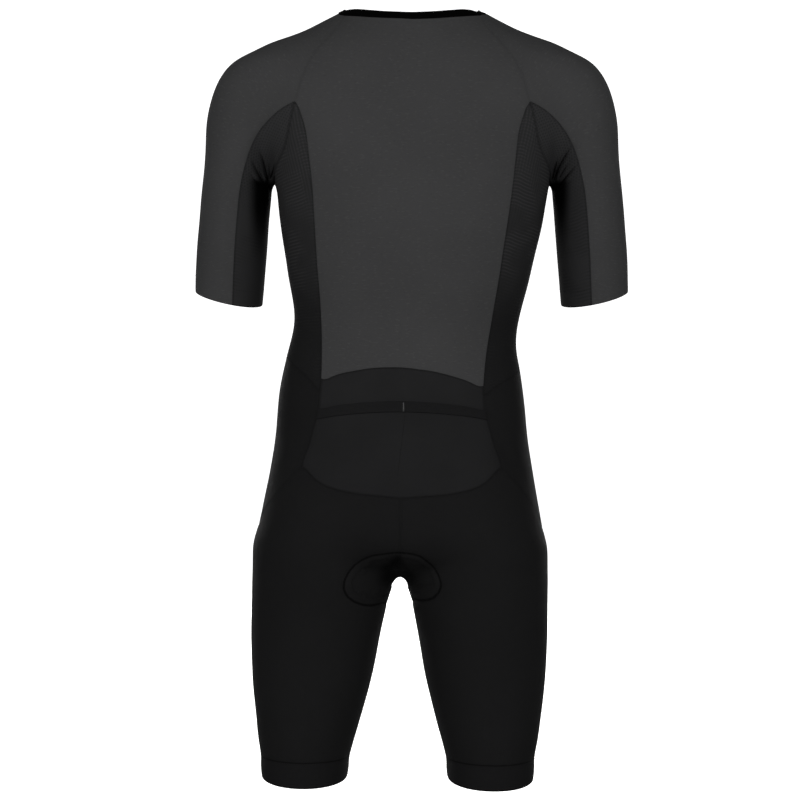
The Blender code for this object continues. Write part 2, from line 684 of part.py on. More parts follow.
def add_front(s):
    """The two fronts, from the neck to the waist, with the zip's opening between them."""
    side = join(s["raglan", "front"], s["princess", "front"])
    arch = s["waist_arch", "front"].copy()
    arch[0] += ZIP_HALF / arch[1][0] * (arch[1] - arch[0])
    top = s["neck_front"]
    edge = np.array([on_face(ZIP_HALF, z, -1) for z in zip_heights(s)])
    edge[0], edge[-1] = top[0], arch[0]
    add_pair("front", relaxed(coons(top, arch, edge, side)), "grey_knit")


def add_sides(s):
    """Side panels, from the armhole down to the hip."""
    top = join(s["armhole", "back"], s["armhole", "front"][::-1])
    bottom = join(s["hip_top", "back"], s["hip_top", "front"][::-1])
    left = join(s["princess", "back"], s["tip", "back"])
    right = join(s["princess", "front"], s["tip", "front"])
    add_pair("side", relaxed(coons(top, bottom, left, right)), "ribbed_mesh")


def two_halves(back_edges, front_edges, guide):
    """A grid made as two quarters that share a guide line, then joined."""
    back = coons(back_edges[0], back_edges[1], back_edges[2], guide)
    front = coons(front_edges[0], front_edges[1], guide, front_edges[2])
    return np.concatenate([back, front[:, 1:]], axis=1)


def add_sleeves(s):
    """Raglan sleeves, from the neck over the shoulder to the cuff."""
    back = join(s["raglan", "back"], s["sleeve", "back"])
    front = join(s["raglan", "front"], s["sleeve", "front"])
    half = CELLS_SLEEVE // 2
    neck, cuff = s["neck_top"], s["cuff_out"]
    ridge = [neck[half]]
    ridge += [cast((x, SLEEVE_TOP_DEPTH, z), (SLEEVE_TOP_LEAN, 0, 1)) for x, z in SLEEVE_TOP]
    ridge += [cast(axis_at(ARM, z), (1, 0, 0)) for z in OUTER_ARM]
    guide = seam([*ridge, cuff[half]], CELLS_RAGLAN + CELLS_ARM)
    grid = two_halves((neck[:half + 1], cuff[:half + 1], back), (neck[half:], cuff[half:], front), guide)
    add_pair("sleeve", relaxed(grid), "grey_knit")


def add_underarms(s):
    """Underarm panels, from the armhole to the cuff."""
    half = CELLS_SIDE
    cuff = s["cuff_in"]
    inner = [cast(axis_at(ARM, z), (-1, 0, 0), INNER_ARM_REACH) for z in INNER_ARM]
    guide = seam([s["armpit"], *inner, cuff[half]], CELLS_ARM, 1.6)
    back, front = s["armhole", "back"], s["armhole", "front"][::-1]
    grid = two_halves((back, cuff[:half + 1], s["sleeve", "back"]),
                      (front, cuff[half:], s["sleeve", "front"]), guide)
    add_pair("underarm", relaxed(grid), "dimple_mesh")


def add_lumbar_and_pocket(s):
    """The panel in the small of the back, with the pocket and its band lying on it."""
    side = join(s["tip", "back"], s["pocket_side", "back"])
    lines = [s["waist_arch", "back"], s["band_top"], s["band_foot"], s["pocket_foot", "back"]]
    places = [0, 2, 3, 3 + CELLS_POCKET]
    parts = []
    for k in range(3):
        edge = side[places[k]:places[k + 1] + 1]
        part = coons(both_sides(lines[k]), both_sides(lines[k + 1]), edge * np.array([-1, 1, 1]), edge)
        parts.append(relaxed(part, SHORT_ROUNDS))
    grid = np.concatenate([parts[0]] + [p[1:] for p in parts[1:]])
    add_cloth("lumbar_panel", grid, "ribbed_mesh")
    add_cloth("back_pocket", parts[2], "black_lycra", wall=POCKET_WALL, out=SEAM_GAP + POCKET_WALL)
    add_cloth("pocket_band", parts[1], "black_lycra", wall=BAND_WALL, out=SEAM_GAP + BAND_WALL)


def add_front_waist(s):
    """The plain panel below the fronts."""
    side = join(s["tip", "front"], s["pocket_side", "front"])
    grid = coons(both_sides(s["waist_arch", "front"]), both_sides(s["pocket_foot", "front"]),
                 side * np.array([-1, 1, 1]), side)
    add_cloth("front_waist", relaxed(grid), "black_lycra")


def add_hips(s):
    top = join(s["hip_top", "back"], s["hip_top", "front"][::-1])
    bottom = join(s["hip_seam", "back"], s["hip_seam", "front"][::-1])
    grid = coons(top, bottom, s["pocket_side", "back"], s["pocket_side", "front"])
    add_pair("hip", relaxed(grid), "black_lycra")


def add_legs(s):
    """Legs in one piece each, closed at the inseam, with a gripper band at the hem."""
    back_top = join(s["pocket_foot", "back"], s["hip_seam", "back"])
    front_top = join(s["pocket_foot", "front"], s["hip_seam", "front"])[::-1]
    half = CELLS_BACK + CELLS_SIDE
    foot = s["gripper"]
    outside = [at_side(HIP_SEAM_SIDE), *(cast(axis_at(LEG, z), (1, 0, 0)) for z in OUTER_LEG)]
    guide = seam([*outside, foot[half]], CELLS_SEAT + CELLS_INSEAM)
    back, front = join(s["seat", "back"], s["inseam"]), join(s["seat", "front"], s["inseam"])
    grid = two_halves((back_top, foot[:half + 1], back), (front_top, foot[half:], front), guide)
    add_pair("leg", relaxed(grid, LEG_ROUNDS), "black_lycra")
    share = np.linspace(0, 1, CELLS_GRIPPER + 1)[:, None, None]
    band = settle(foot[None] * (1 - share) + s["hem"][None] * share)
    add_pair("gripper", band, "black_lycra", wall=BAND_WALL)


def add_binding(s):
    """The binding that finishes the neck, open at the zip."""
    edge = join(s["neck_back"], s["neck_top"], s["neck_front"][::-1])
    edge = join(edge[::-1] * np.array([-1, 1, 1]), edge)
    along = unit(np.gradient(edge, axis=0))
    up = unit(np.cross(along, normals(edge[None])[0]))
    up *= np.sign(up[:, 2:])
    share = np.linspace(0, 1, 2)[:, None, None]
    grid = settle(edge[None] + share * BINDING_HEIGHT * up[None])
    grid[0] = edge
    add_cloth("neck_binding", grid, "binding", wall=WALL + 2 * BINDING_PROUD, out=BINDING_PROUD)


def faces_of(names):
    """The faces of finished pieces, to cast lines against."""
    points, faces = [], []
    for name in names:
        mesh = bpy.data.objects[name].data
        start = len(points)
        points += [vertex.co.copy() for vertex in mesh.vertices]
        faces += [[start + k for k in face.vertices] for face in mesh.polygons]
    return BVHTree.FromPolygons(points, faces)


def walked(start, behind, side, step):
    """The point a step further across the cloth, straight on from the one behind."""
    facing = normals(start[None, None])[0, 0]
    heading = np.array([side, 0, 0]) if behind is None else start - behind
    heading = unit(heading - heading.dot(facing) * facing)
    return settle((start + step * heading)[None])[0]


def pad_grid():
    """The pad's outline on the form, in rows across that start from the middle seam."""
    across, along = PAD_CELLS
    share, widths = np.array(PAD_OUTLINE).T
    grid = np.empty((along + 1, 2 * across + 1, 3))
    for row, place in enumerate(np.linspace(0, 1, along + 1)):
        turn = math.radians(PAD_ANGLES[0] + (PAD_ANGLES[1] - PAD_ANGLES[0]) * place)
        grid[row, across] = cast((0, *PAD_CENTRE), (0, math.cos(turn), math.sin(turn)))
        step = float(np.interp(place, share, widths)) / across
        for side in (1, -1):
            behind = None
            for k in range(1, across + 1):
                start = grid[row, across + side * (k - 1)].copy()
                grid[row, across + side * k] = walked(start, behind, side, step)
                behind = start
    return grid


def clearance(cloth, points, facing):
    """How far outwards from each point the cloth's inner face lies."""
    start = points - PAD_SEARCH * facing
    start[..., 0] = np.where(abs(start[..., 0]) < PAD_ASIDE, PAD_ASIDE, start[..., 0])
    found = [cloth.ray_cast(start[place], facing[place])[3] for place in np.ndindex(points.shape[:2])]
    found = [2 * PAD_SEARCH if distance is None else distance for distance in found]
    return np.reshape(found, points.shape[:2])[..., None] - PAD_SEARCH


def laid_inside(cloth, grid, facing):
    """A grid laid on the inner face of the cloth, and drawn in where its flat cells would cut it."""
    on_cloth = grid + clearance(cloth, grid, facing) * facing
    depth = np.full(grid.shape[:2], PAD_GAP)[..., None]
    for _ in range(PAD_ROUNDS):
        laid = on_cloth - depth * facing
        short = np.zeros_like(depth)
        for rows, columns in ((0, 1), (1, 0), (1, 1)):
            first = (slice(None, -rows or None), slice(None, -columns or None))
            last = (slice(rows, None), slice(columns, None))
            for share in PAD_SHARES:
                between = laid[first] * (1 - share) + laid[last] * share
                towards = unit(facing[first] + facing[last])
                lacking = np.maximum(PAD_GAP - clearance(cloth, between, towards), 0)
                short[first] = np.maximum(short[first], lacking)
                short[last] = np.maximum(short[last], lacking)
        depth += short
    return on_cloth - depth * facing


def add_seat_pad():
    """The pad inside the seat, a soft sheet that lies on the legs' inner faces round the crotch."""
    grid = pad_grid()
    facing = normals(grid)
    outer = laid_inside(faces_of(("leg_left", "leg_right")), grid, facing)
    from_middle = abs(np.linspace(-1, 1, grid.shape[1]))[None, :]
    from_end = abs(np.linspace(-1, 1, grid.shape[0]))[:, None]
    fullness = (1 - from_middle**4) * (1 - from_end**6)
    thickness = PAD_EDGE + (PAD_THICKNESS - PAD_EDGE) * fullness[..., None]
    points, faces = wall_mesh(outer, outer - thickness * facing)
    add_object("seat_pad", points, faces, "pad_foam")


def front_strip(low, high, heights):
    """A grid on the front between two widths, down the given heights."""
    return np.array([[on_face(x, z, -1) for x in (low, high)] for z in heights])


def add_zip(s):
    """Tapes behind the front edges, the closed chain between them, the slider and its pull."""
    heights = zip_heights(s)
    tape = front_strip(SEAM_GAP / 2, ZIP_TAPE, heights)
    add_pair("zip_tape", tape, "zip_moulded", wall=TAPE_WALL, out=-(WALL + 2 * SEAM_GAP))
    half = ZIP_HALF - SEAM_GAP / 2
    chain = front_strip(-half, half, heights)
    add_cloth("zip_chain", chain, "zip_moulded", wall=CHAIN_PROUD + WALL, out=CHAIN_PROUD)
    add_slider(chain)


def prism(profile, width):
    """A profile of points, given square to the X axis, as a solid of a width about the middle."""
    profile = np.array(profile)
    count = len(profile)
    points = np.concatenate([profile - (width / 2, 0, 0), profile + (width / 2, 0, 0)])
    faces = [tuple(range(count)), tuple(range(2 * count - 1, count - 1, -1))]
    faces += [(k, count + k, count + (k + 1) % count, (k + 1) % count) for k in range(count)]
    return points, faces


def add_slider(chain):
    """The slider at the top of the chain, and the pull tab that hinges between its lugs."""
    top = chain[0, 0]
    at = on_face(0, top[2] - SLIDER_DOWN, -1)
    out = normals(at[None, None])[0, 0]
    down = unit(np.cross(np.array([1.0, 0, 0]), out))
    down *= -np.sign(down[2])
    slot = PULL_WIDTH / 2 + SEAM_GAP
    half = SLIDER_WIDTH / 2
    low = CHAIN_PROUD + SEAM_GAP
    base, lug = low + SLIDER_BASE, low + SLIDER_BASE + SLIDER_LUGS
    outline = [(-half, low), (half, low), (half, lug), (slot, lug),
               (slot, base), (-slot, base), (-slot, lug), (-half, lug)]
    points = [at + np.array([x, 0, 0]) + n * out + side * SLIDER_LENGTH / 2 * down
              for side in (-1, 1) for x, n in outline]
    count = len(outline)
    faces = [tuple(range(count)), tuple(range(2 * count - 1, count - 1, -1))]
    faces += [(k, count + k, count + (k + 1) % count, (k + 1) % count) for k in range(count)]
    add_object("zip_slider", points, faces, "zip_moulded", smooth=False)

    pivot = at + (base + PULL_BARREL + SEAM_GAP) * out
    meet = math.asin(PULL_PLATE / 2 / PULL_BARREL)
    turns = np.linspace(meet, 2 * math.pi - meet, 11)
    tip_turns = np.linspace(-math.pi / 2, math.pi / 2, 7)
    tip = PULL_LENGTH - PULL_PLATE / 2
    profile = [pivot + PULL_BARREL * (math.cos(t) * down + math.sin(t) * out) for t in turns]
    profile += [pivot + tip * down + PULL_PLATE / 2 * (math.cos(t) * down + math.sin(t) * out)
                for t in tip_turns]
    points, faces = prism(profile, PULL_WIDTH)
    add_object("zip_pull", points, faces, "zip_moulded", smooth=False)


def leaned(points):
    """Points of the upright form, moved with the body as it leans below the arms."""
    x, y, z = points.T
    lean = rows_at(LEAN, z)[0]
    slope = (rows_at(LEAN, z + LEAN_STEP)[0] - rows_at(LEAN, z - LEAN_STEP)[0]) / (2 * LEAN_STEP)
    share = np.clip((ARMS_APART[1] - abs(x)) / (ARMS_APART[1] - ARMS_APART[0]), 0, 1)
    share = np.where(z < ARMS_END, 1, share**2 * (3 - 2 * share))
    return np.stack([x + share * lean, y, z - share * slope * x], axis=1)


def lean_body():
    """Every piece follows the lean, so that neighbours stay matched."""
    for made in bpy.data.objects:
        points = np.empty(len(made.data.vertices) * 3)
        made.data.vertices.foreach_get("co", points)
        made.data.vertices.foreach_set("co", leaned(points.reshape(-1, 3)).ravel())
        made.data.update()


def main():
    for old in list(bpy.data.objects):
        bpy.data.objects.remove(old, do_unlink=True)
    s = make_seams()
    add_back(s)
    add_front(s)
    add_sides(s)
    add_sleeves(s)
    add_underarms(s)
    add_lumbar_and_pocket(s)
    add_front_waist(s)
    add_hips(s)
    add_legs(s)
    add_binding(s)
    add_seat_pad()
    add_zip(s)
    lean_body()


if __name__ == "__main__":
    main()
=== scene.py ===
"""Looks of the triathlon suit.

The cloth panels are joined at their seams into one skin, which is smoothed, creased and then cut
into panels again, so that neighbours stay matched. Each panel becomes a thin shell with its own
knit. Flatlock stitching, the hems' rows, the neck binding, the seat pad and the zip are added to
it. Sizes are in metres, +Z is up, the front faces -Y and the wearer's left is +X.
"""
import functools
import math

import bmesh
import bpy
import numpy as np
from bpy.props import FloatProperty, FloatVectorProperty, IntProperty, PointerProperty
from mathutils import Matrix, Vector
from mathutils.bvhtree import BVHTree
from mathutils.kdtree import KDTree


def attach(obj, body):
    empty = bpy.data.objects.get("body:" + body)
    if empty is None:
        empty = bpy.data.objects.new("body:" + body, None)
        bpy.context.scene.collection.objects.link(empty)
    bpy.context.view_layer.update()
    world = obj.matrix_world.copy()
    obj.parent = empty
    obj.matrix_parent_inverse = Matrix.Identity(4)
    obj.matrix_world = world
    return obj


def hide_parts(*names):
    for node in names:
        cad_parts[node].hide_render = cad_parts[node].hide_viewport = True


bl_info = {
    "name": "Triathlon suit",
    "version": (1, 0, 0),
    "blender": (4, 5, 0),
    "location": "3D View > Sidebar > Suit",
    "description": "Cloth, stitching, pad and zip of a one-piece triathlon suit",
    "category": "Object",
}

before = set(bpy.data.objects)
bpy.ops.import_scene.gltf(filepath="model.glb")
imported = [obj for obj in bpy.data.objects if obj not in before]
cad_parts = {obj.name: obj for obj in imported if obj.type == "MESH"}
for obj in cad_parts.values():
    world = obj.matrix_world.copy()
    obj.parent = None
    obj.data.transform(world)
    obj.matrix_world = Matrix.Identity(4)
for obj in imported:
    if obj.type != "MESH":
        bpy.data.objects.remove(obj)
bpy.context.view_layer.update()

CUTS = (
    # panel or pair of panels, finish, how far out the middle lies of the tube that it wraps,
    # cut width and length, flat area
    ("back_panel", "grey_knit", 0.0, 0.300, 0.460, 0.108),
    ("front", "grey_knit", 0.0, 0.160, 0.470, 0.050),
    ("sleeve", "grey_knit", 0.215, 0.270, 0.400, 0.079),
    ("side", "ribbed_mesh", 0.0, 0.200, 0.380, 0.0535),
    ("underarm", "dimple_mesh", 0.222, 0.160, 0.300, 0.0293),
    ("lumbar_panel", "lumbar_mesh", 0.0, 0.260, 0.160, 0.0311),
    ("front_waist", "black_lycra", 0.0, 0.260, 0.160, 0.0302),
    ("hip", "black_lycra", 0.0, 0.260, 0.210, 0.0342),
    ("leg", "black_lycra", 0.100, 0.620, 0.440, 0.171),
    ("gripper", "gripper_band", 0.115, 0.390, 0.027, 0.0103),
)
SINGLE = ("back_panel", "lumbar_panel", "front_waist")
BOTH = (("_left", 1), ("_right", -1))
PANELS = [
    (name + side, finish, sign * out, width, length, area)
    for name, finish, out, width, length, area in CUTS
    for side, sign in ([("", 1)] if name in SINGLE else BOTH)
]
SLOTS = {"lumbar_mesh": "ribbed_mesh", "gripper_band": "black_lycra"}  # where not the finish's own

CREASES = (
    # start at the armpit: out from the middle, height; end the same; bow; half width, depth,
    # face (1 back, -1 front)
    (0.1835, -0.2160, 0.1985, -0.1850, -0.0012, 0.0019, 0.0026, 1),
    (0.1800, -0.2130, 0.1892, -0.1740, 0.0016, 0.0017, 0.0028, 1),
    (0.1765, -0.2075, 0.1690, -0.1900, 0.0008, 0.0015, 0.0014, 1),
    (0.1850, -0.2110, 0.1945, -0.1925, 0.0010, 0.0010, 0.0009, 1),
    (0.1880, -0.2190, 0.2010, -0.2030, -0.0010, 0.0014, 0.0010, 1),
    (-0.1758, -0.2085, -0.1808, -0.1840, -0.0010, 0.0016, 0.0024, 1),
    (-0.1775, -0.2090, -0.1985, -0.1690, -0.0022, 0.0018, 0.0027, 1),
    (-0.1818, -0.2200, -0.2040, -0.1935, -0.0008, 0.0018, 0.0024, 1),
    (-0.1830, -0.2080, -0.1965, -0.1880, -0.0008, 0.0010, 0.0010, 1),
    (-0.1790, -0.2010, -0.1880, -0.1760, -0.0010, 0.0010, 0.0009, 1),
    (0.1820, -0.2150, 0.1965, -0.1880, -0.0010, 0.0019, 0.0026, -1),
    (0.1785, -0.2090, 0.1860, -0.1620, 0.0014, 0.0017, 0.0022, -1),
    (0.1870, -0.2100, 0.1990, -0.1970, 0.0008, 0.0012, 0.0010, -1),
    (-0.1800, -0.2170, -0.1990, -0.1830, -0.0012, 0.0019, 0.0027, -1),
    (-0.1765, -0.2080, -0.1830, -0.1700, -0.0014, 0.0016, 0.0022, -1),
    (-0.1840, -0.2090, -0.1960, -0.1900, -0.0008, 0.0011, 0.0010, -1),
)
CREASE_MIDDLE = -0.010  # depth where the creases of the back and those of the front meet
CREASE_FADE = 0.012  # over which they fade in from there
CREASE_ENDS = ((-0.12, 0.08), (-0.05, 0.75))  # shares of a crease over which its two ends fade
CREASE_LIP = (0.40, 2.0, 0.9)  # height, distance and width of its lips, as shares of the trough's
CREASE_SHADE = (0.0001, 0.75, 0.0022)  # painted shade in a crease: dark up to here, gone at this share; dark in full if this deep

SEAT_CREASES = (
    # start at the crotch: out from the middle, height; end the same; half width, depth, darkness of the
    # painted shade in the fold
    (0.0215, -0.6800, 0.0365, -0.7130, 0.0080, 0.0016, 1.0),
    (0.0310, -0.6880, 0.0040, -0.6860, 0.0060, 0.0000, 1.1),
    (0.0120, -0.6840, -0.0040, -0.7100, 0.0050, 0.0008, 0.7),
    (0.0175, -0.6760, 0.0175, -0.6960, 0.0055, 0.0014, 1.0),
    (-0.0080, -0.7120, -0.0270, -0.7060, 0.0026, 0.0003, 0.25),
)
SEAT_BACK = 0.03  # how far behind the middle the folds of the seat are whole
SEAT_TAPER = 0.6  # power by which they get shallower along their length

SLEEVE_SHADE_STRIPS = (
    # painted shade in dark strips on the insides of the sleeves, where the torso keeps the light off:
    # dark up to here and gone from there, out from the middle; foot and top
    (0.1900, 0.2050, -0.3250, -0.2080),
    (-0.1860, -0.1990, -0.3150, -0.2080),
)
HOLLOW_SIDE = (0.100, 0.101)  # the strips lie farther out than this, so on one side each
HOLLOW_FOOT, HOLLOW_TOP = 0.085, 0.008  # heights over which they fade at their feet and tops

POCKET_MIDDLE = (
    # out from the middle, height: the sewn line that halves the pocket, top and foot
    (0.0090, -0.5025),
    (0.0178, -0.5740),
)
BAND_FOOT = (
    # out from the middle, height: the seam under the pocket's band, as far as its mouth opens
    (0.0850, -0.4998),
    (0.0480, -0.4986),
    (0.0120, -0.4984),
    (-0.0240, -0.5000),
    (-0.0600, -0.5034),
)
BARTACK = (0.0108, -0.4880, -0.4985, 0.0010)  # out from the middle, top, foot and half width
TACK_PITCH = 0.00035  # from one turn of its zigzag to the next
POCKET_SEWN = 0.0009  # how far the pocket stands off at its seams
POCKET_FREE = (0.0005, 0.0070)  # from a seam, where it starts to stand off more, and where it is free
BAND_HEIGHT = 0.010  # from the seam under the band to its top
BAND_STEP = 0.004  # from point to point of the seam under the band
BAND_FLARE = 0.0008  # how much farther the band stands off at its top
BAND_EDGE = 0.0005  # rounding
BAND_THREAD = 0.0002  # how far the row under the band stands off the pocket

PAD_HUB = (0.015, 0.0, -0.640)  # above the middle of the pad
PAD_LINE = (
    # the sewn line round the pad: out from the middle, back from the middle, height; it runs from
    # the back round the wearer's left leg to the front, and back round the right leg
    (0.0186, 0.1121, -0.6667),
    (0.0359, 0.1097, -0.6685),
    (0.0485, 0.1066, -0.6707),
    (0.0586, 0.1027, -0.6753),
    (0.0688, 0.1001, -0.6822),
    (0.0771, 0.1005, -0.6916),
    (0.0822, 0.1000, -0.7024),
    (0.0827, 0.0979, -0.7110),
    (0.0790, 0.0936, -0.7198),
    (0.0708, 0.0865, -0.7273),
    (0.0608, 0.0771, -0.7322),
    (0.0503, 0.0647, -0.7346),
    (0.0407, 0.0486, -0.7339),
    (0.0350, 0.0320, -0.7340),
    (0.0325, 0.0100, -0.7385),
    (0.0318, -0.0180, -0.7345),
    (0.0335, -0.0380, -0.7200),
    (0.0366, -0.0522, -0.7107),
    (0.0427, -0.0663, -0.6959),
    (0.0444, -0.0735, -0.6891),
    (0.0429, -0.0833, -0.6819),
    (0.0350, -0.0925, -0.6738),
    (0.0145, -0.0986, -0.6646),
    (-0.0057, -0.0925, -0.6744),
    (-0.0133, -0.0833, -0.6827),
    (-0.0147, -0.0735, -0.6898),
    (-0.0128, -0.0663, -0.6965),
    (-0.0063, -0.0522, -0.7112),
    (-0.0030, -0.0380, -0.7200),
    (-0.0007, -0.0180, -0.7349),
    (-0.0008, 0.0099, -0.7360),
    (-0.0011, 0.0294, -0.7303),
    (-0.0083, 0.0468, -0.7296),
    (-0.0174, 0.0644, -0.7280),
    (-0.0257, 0.0761, -0.7240),
    (-0.0323, 0.0850, -0.7156),
    (-0.0348, 0.0896, -0.7067),
    (-0.0322, 0.0899, -0.6983),
    (-0.0272, 0.0896, -0.6889),
    (-0.0186, 0.0985, -0.6790),
    (-0.0101, 0.1071, -0.6716),
    (-0.0017, 0.1102, -0.6687),
    (0.0083, 0.1118, -0.6671),
    (0.0186, 0.1121, -0.6667),
)
PAD_STEP = 0.0016  # from point to point of the line when it is rounded
PAD_ROUNDS = 6  # how often it is rounded
PAD_EDGE = 0.0022  # the pad's walls have shorter sides than this at its edge alone
PAD_PUSH = 0.01  # the pad is pushed back into the cloth by no more than this
PAD_CLEAR = 0.0013  # from the cloth's outer face to the pad
PAD_REACH = 0.020  # how far inside its line the pad's rise is whole
PAD_START = -0.0020  # from its line, where the rise starts
PAD_SEAM = 0.0018  # half width of the groove of the sewn line
PAD_UNDER = 0.0026  # the cloth's outer face lies nearer to the pad than this where it covers it
CHANNEL_IN = 0.016  # from the pad's edge to the channel along it
CHANNEL_REACH = 0.06  # how far from the pad's edge the distance to it is kept
CHANNEL_ASIDE = 0.014  # from the pad's middle to its two long channels

CUFF_TOP, CUFF_FOOT = -0.30, -0.45  # heights between which a free edge is a cuff
CUFF_UP = (-0.10, 0.17, 1.0)  # the way up the wearer's left sleeve at its cuff
OVERLAYS = ("pocket_band", "back_pocket")
OVERLAY_REACH = 0.0025  # the lumbar panel lies nearer than this to a layer that covers it
STITCH = (
    # share of its length, thickness and height over the cloth as shares of the thread's radius
    (0.00, 0.40, -0.80),
    (0.20, 1.00, 0.40),
    (0.80, 1.00, 0.40),
    (1.00, 0.40, -0.80),
)
STITCH_SHARE = 0.78  # of the pitch

TAPE_TURN = 50  # degrees by which a narrow band turns at the edges that are rounded
QUAD_TURN = math.radians(40)  # triangles that turn by less than this make one quad
SHEET_MERGE = 1e-5  # points of a CAD node nearer than this are one
RIM_EDGE = 0.0023  # a wall's rim has a shorter edge than this, and its two faces have none
WELD = 0.0008  # edges of neighbouring panels are nearer than this
SEAM_REACH = 0.012  # how far from a seam the distance to it is kept
SEAM_WIDTH = 0.0016  # half width of the groove at a seam
SEAM_SHADE_SPAN = (0.0006, 0.0022)  # painted shade: dark up to here from a seam, and gone from there
PAD_SHADE_SPAN = (0.0004, 0.0022)  # painted shade in the groove of the pad's sewn line: the same from that line
SEAM_POINTS, SLIT_POINTS = 4, 12  # fewest points of a seam, and of a seam inside one panel
BEHIND = 0.3  # how far behind the suit's middle a place is looked at from
POCKET_POINTS = 40  # on the line down the pocket's middle

GREY_LOOP = (0.00110, 0.00085)  # a loop's width and height
LYCRA_LOOP = (0.00075, 0.00055)
RIB, UPRIGHT_RIB = 0.0040, 0.0046  # from one rib of the meshes to the next
MESH_HOLE = (0.00125, 0.00125)  # from one hole or dimple to the next, across and up
DIMPLE = (0.0042, 0.0033)
PIN_HOLE = (0.0015, 0.0013)
GRIPPER_RIB, GRIPPER_ROW = 0.0014, 0.0007
TAPE_RIB = 0.0011
SEAM_SHADE_BLACK = (0.002, 0.002, 0.002)  # painted shade: what the cloth darkens to at its seams, where it is drawn in
PAINTED_SHADE_BLACK = (0.0003, 0.0003, 0.0003)  # painted shade in its hollows: inside the sleeves, in the folds at the crotch and in the pad's sewn line

BINDING_TOP = (
    # out from the middle, how far the binding's upper edge rises there
    (-0.1000, 0.0000),
    (-0.0860, -0.0024),
    (-0.0800, -0.0008),
    (-0.0720, 0.0016),
    (-0.0600, 0.0026),
    (-0.0400, 0.0018),
    (-0.0200, 0.0009),
    (0.0150, 0.0008),
    (0.0350, 0.0012),
    (0.0580, 0.0022),
    (0.0700, 0.0026),
    (0.0780, 0.0018),
    (0.0860, -0.0010),
    (0.1000, 0.0000),
)
BINDING_UPPER = (0, 0.5)  # upward parts of a face's direction between which its rise sets in
BINDING_DROP = 0.0014  # how far its lower edge sinks
NET_ROUNDS = 3  # how often the skin's net is corrected, so that the smooth skin meets the solids
NET_SHARE = 0.8  # of what is still missing, added in each round

CHAIN_STEP = 0.0005  # from point to point of the zip's line
CHAIN_ENDS = 4  # points of the line without teeth at each end
TOOTH_OVERLAP = 0.0008  # how far the teeth of one side reach over the middle
TOOTH_SUNK = 0.4  # share of a tooth's depth that its middle lies behind the chain's face
TOOTH_EDGE = 0.0003  # rounding
PLATE_EDGE, LUG_EDGE, TAB_EDGE = 0.0005, 0.0006, 0.0002  # rounding of the slider's parts
PLATE_FOOT = 0.72  # the plate's width at its foot, as a share
LUG_LENGTH, LUG_UP, LUG_SUNK = 0.0062, 0.0004, 0.0002  # length, height of its middle, depth in the plate
LUG_GAP = 0.0003  # from each lug to the pull, and from the barrel to the plate
TAB_START = 0.0004  # from the hinge down to the tab
TAB_LOW, TAB_THROUGH = -0.02, 0.001  # edges below this and longer than this are its lower corners
TAB_CORNER = 0.0022  # rounding of the tab's lower corners
TAB_FRAME, TAB_SUNK = 0.0010, 0.0003  # width of the rim round the tab's panel, and its depth

LIGHTS = (
    # name, place, width of the square, which of the stage's powers
    ("key", (0.2, 3.2, 0.3), 2.4, "key"),
    ("side_left", (2.35, 2.4, -0.2), 2.4, "fill"),
    ("side_right", (-2.35, 2.4, -0.2), 2.4, "fill"),
    ("front_left", (1.1, -3.3, 0.1), 2.0, "front"),
    ("front_right", (-1.1, -3.3, 0.1), 2.0, "front"),
)
PAPER_GLOW = 0.90  # brightness of the floor's own light
FLOOR_MIDDLE = 0.02  # radius of the floor's middle face
FLOOR_REACH, FLOOR_BEND, WALL_TOP = 4.6, 1.2, 5.0  # out to the wall, its foot's radius, its top
FLOOR_SIDES, FLOOR_STEPS = 96, 13  # faces round the floor, and points of its bend


def length_setting(name, description, default):
    """A size that a user may change."""
    return FloatProperty(name=name, description=description, default=default, unit="LENGTH")


def power_setting(name, description, default):
    """A light's power that a user may change."""
    return FloatProperty(name=name, description=description, default=default, unit="POWER")


def colour_setting(name, pieces, *default):
    """A colour that a user may change."""
    return FloatVectorProperty(
        name=name, description="Colour of " + pieces, default=default, subtype="COLOR", size=3)


class SuitCloth(bpy.types.PropertyGroup):
    """The cloth and its shaping."""
    thickness: length_setting("Thickness", "Thickness of the cloth", 0.0008)
    detail: IntProperty(
        name="Detail", description="How often the skin is subdivided", default=3, min=1, max=3)
    seam_depth: length_setting("Seam depth", "How far a seam draws the cloth in", 0.00018)
    pocket_lift: length_setting("Pocket's lift", "How far the pocket stands off", 0.0016)
    band_lift: length_setting("Band's lift", "How far the pocket's band stands off", 0.0032)
    band_thickness: length_setting("Band's thickness", "Thickness of the turned band", 0.0013)
    crease: FloatProperty(
        name="Creases", description="Depth of the creases, as a share of their tables",
        default=1.0, subtype="FACTOR")
    pad_rise: length_setting("Pad's rise", "How far the pad pushes the cloth out", 0.0013)
    pad_groove: length_setting("Pad's groove", "Depth of the sewn line round the pad", 0.0011)
    unevenness: length_setting("Unevenness", "Height of the cloth's slow ripples", 0.00035)
    cuff_hem: length_setting("Cuff hem", "Height of the hem at the cuff", 0.0200)


class SuitThread(bpy.types.PropertyGroup):
    """The stitching."""
    radius: length_setting("Radius", "Half the thread's thickness", 0.00020)
    pitch: length_setting("Pitch", "From one stitch to the next", 0.0032)
    row: length_setting("Row", "From a seam to the row of stitches on each side", 0.0018)


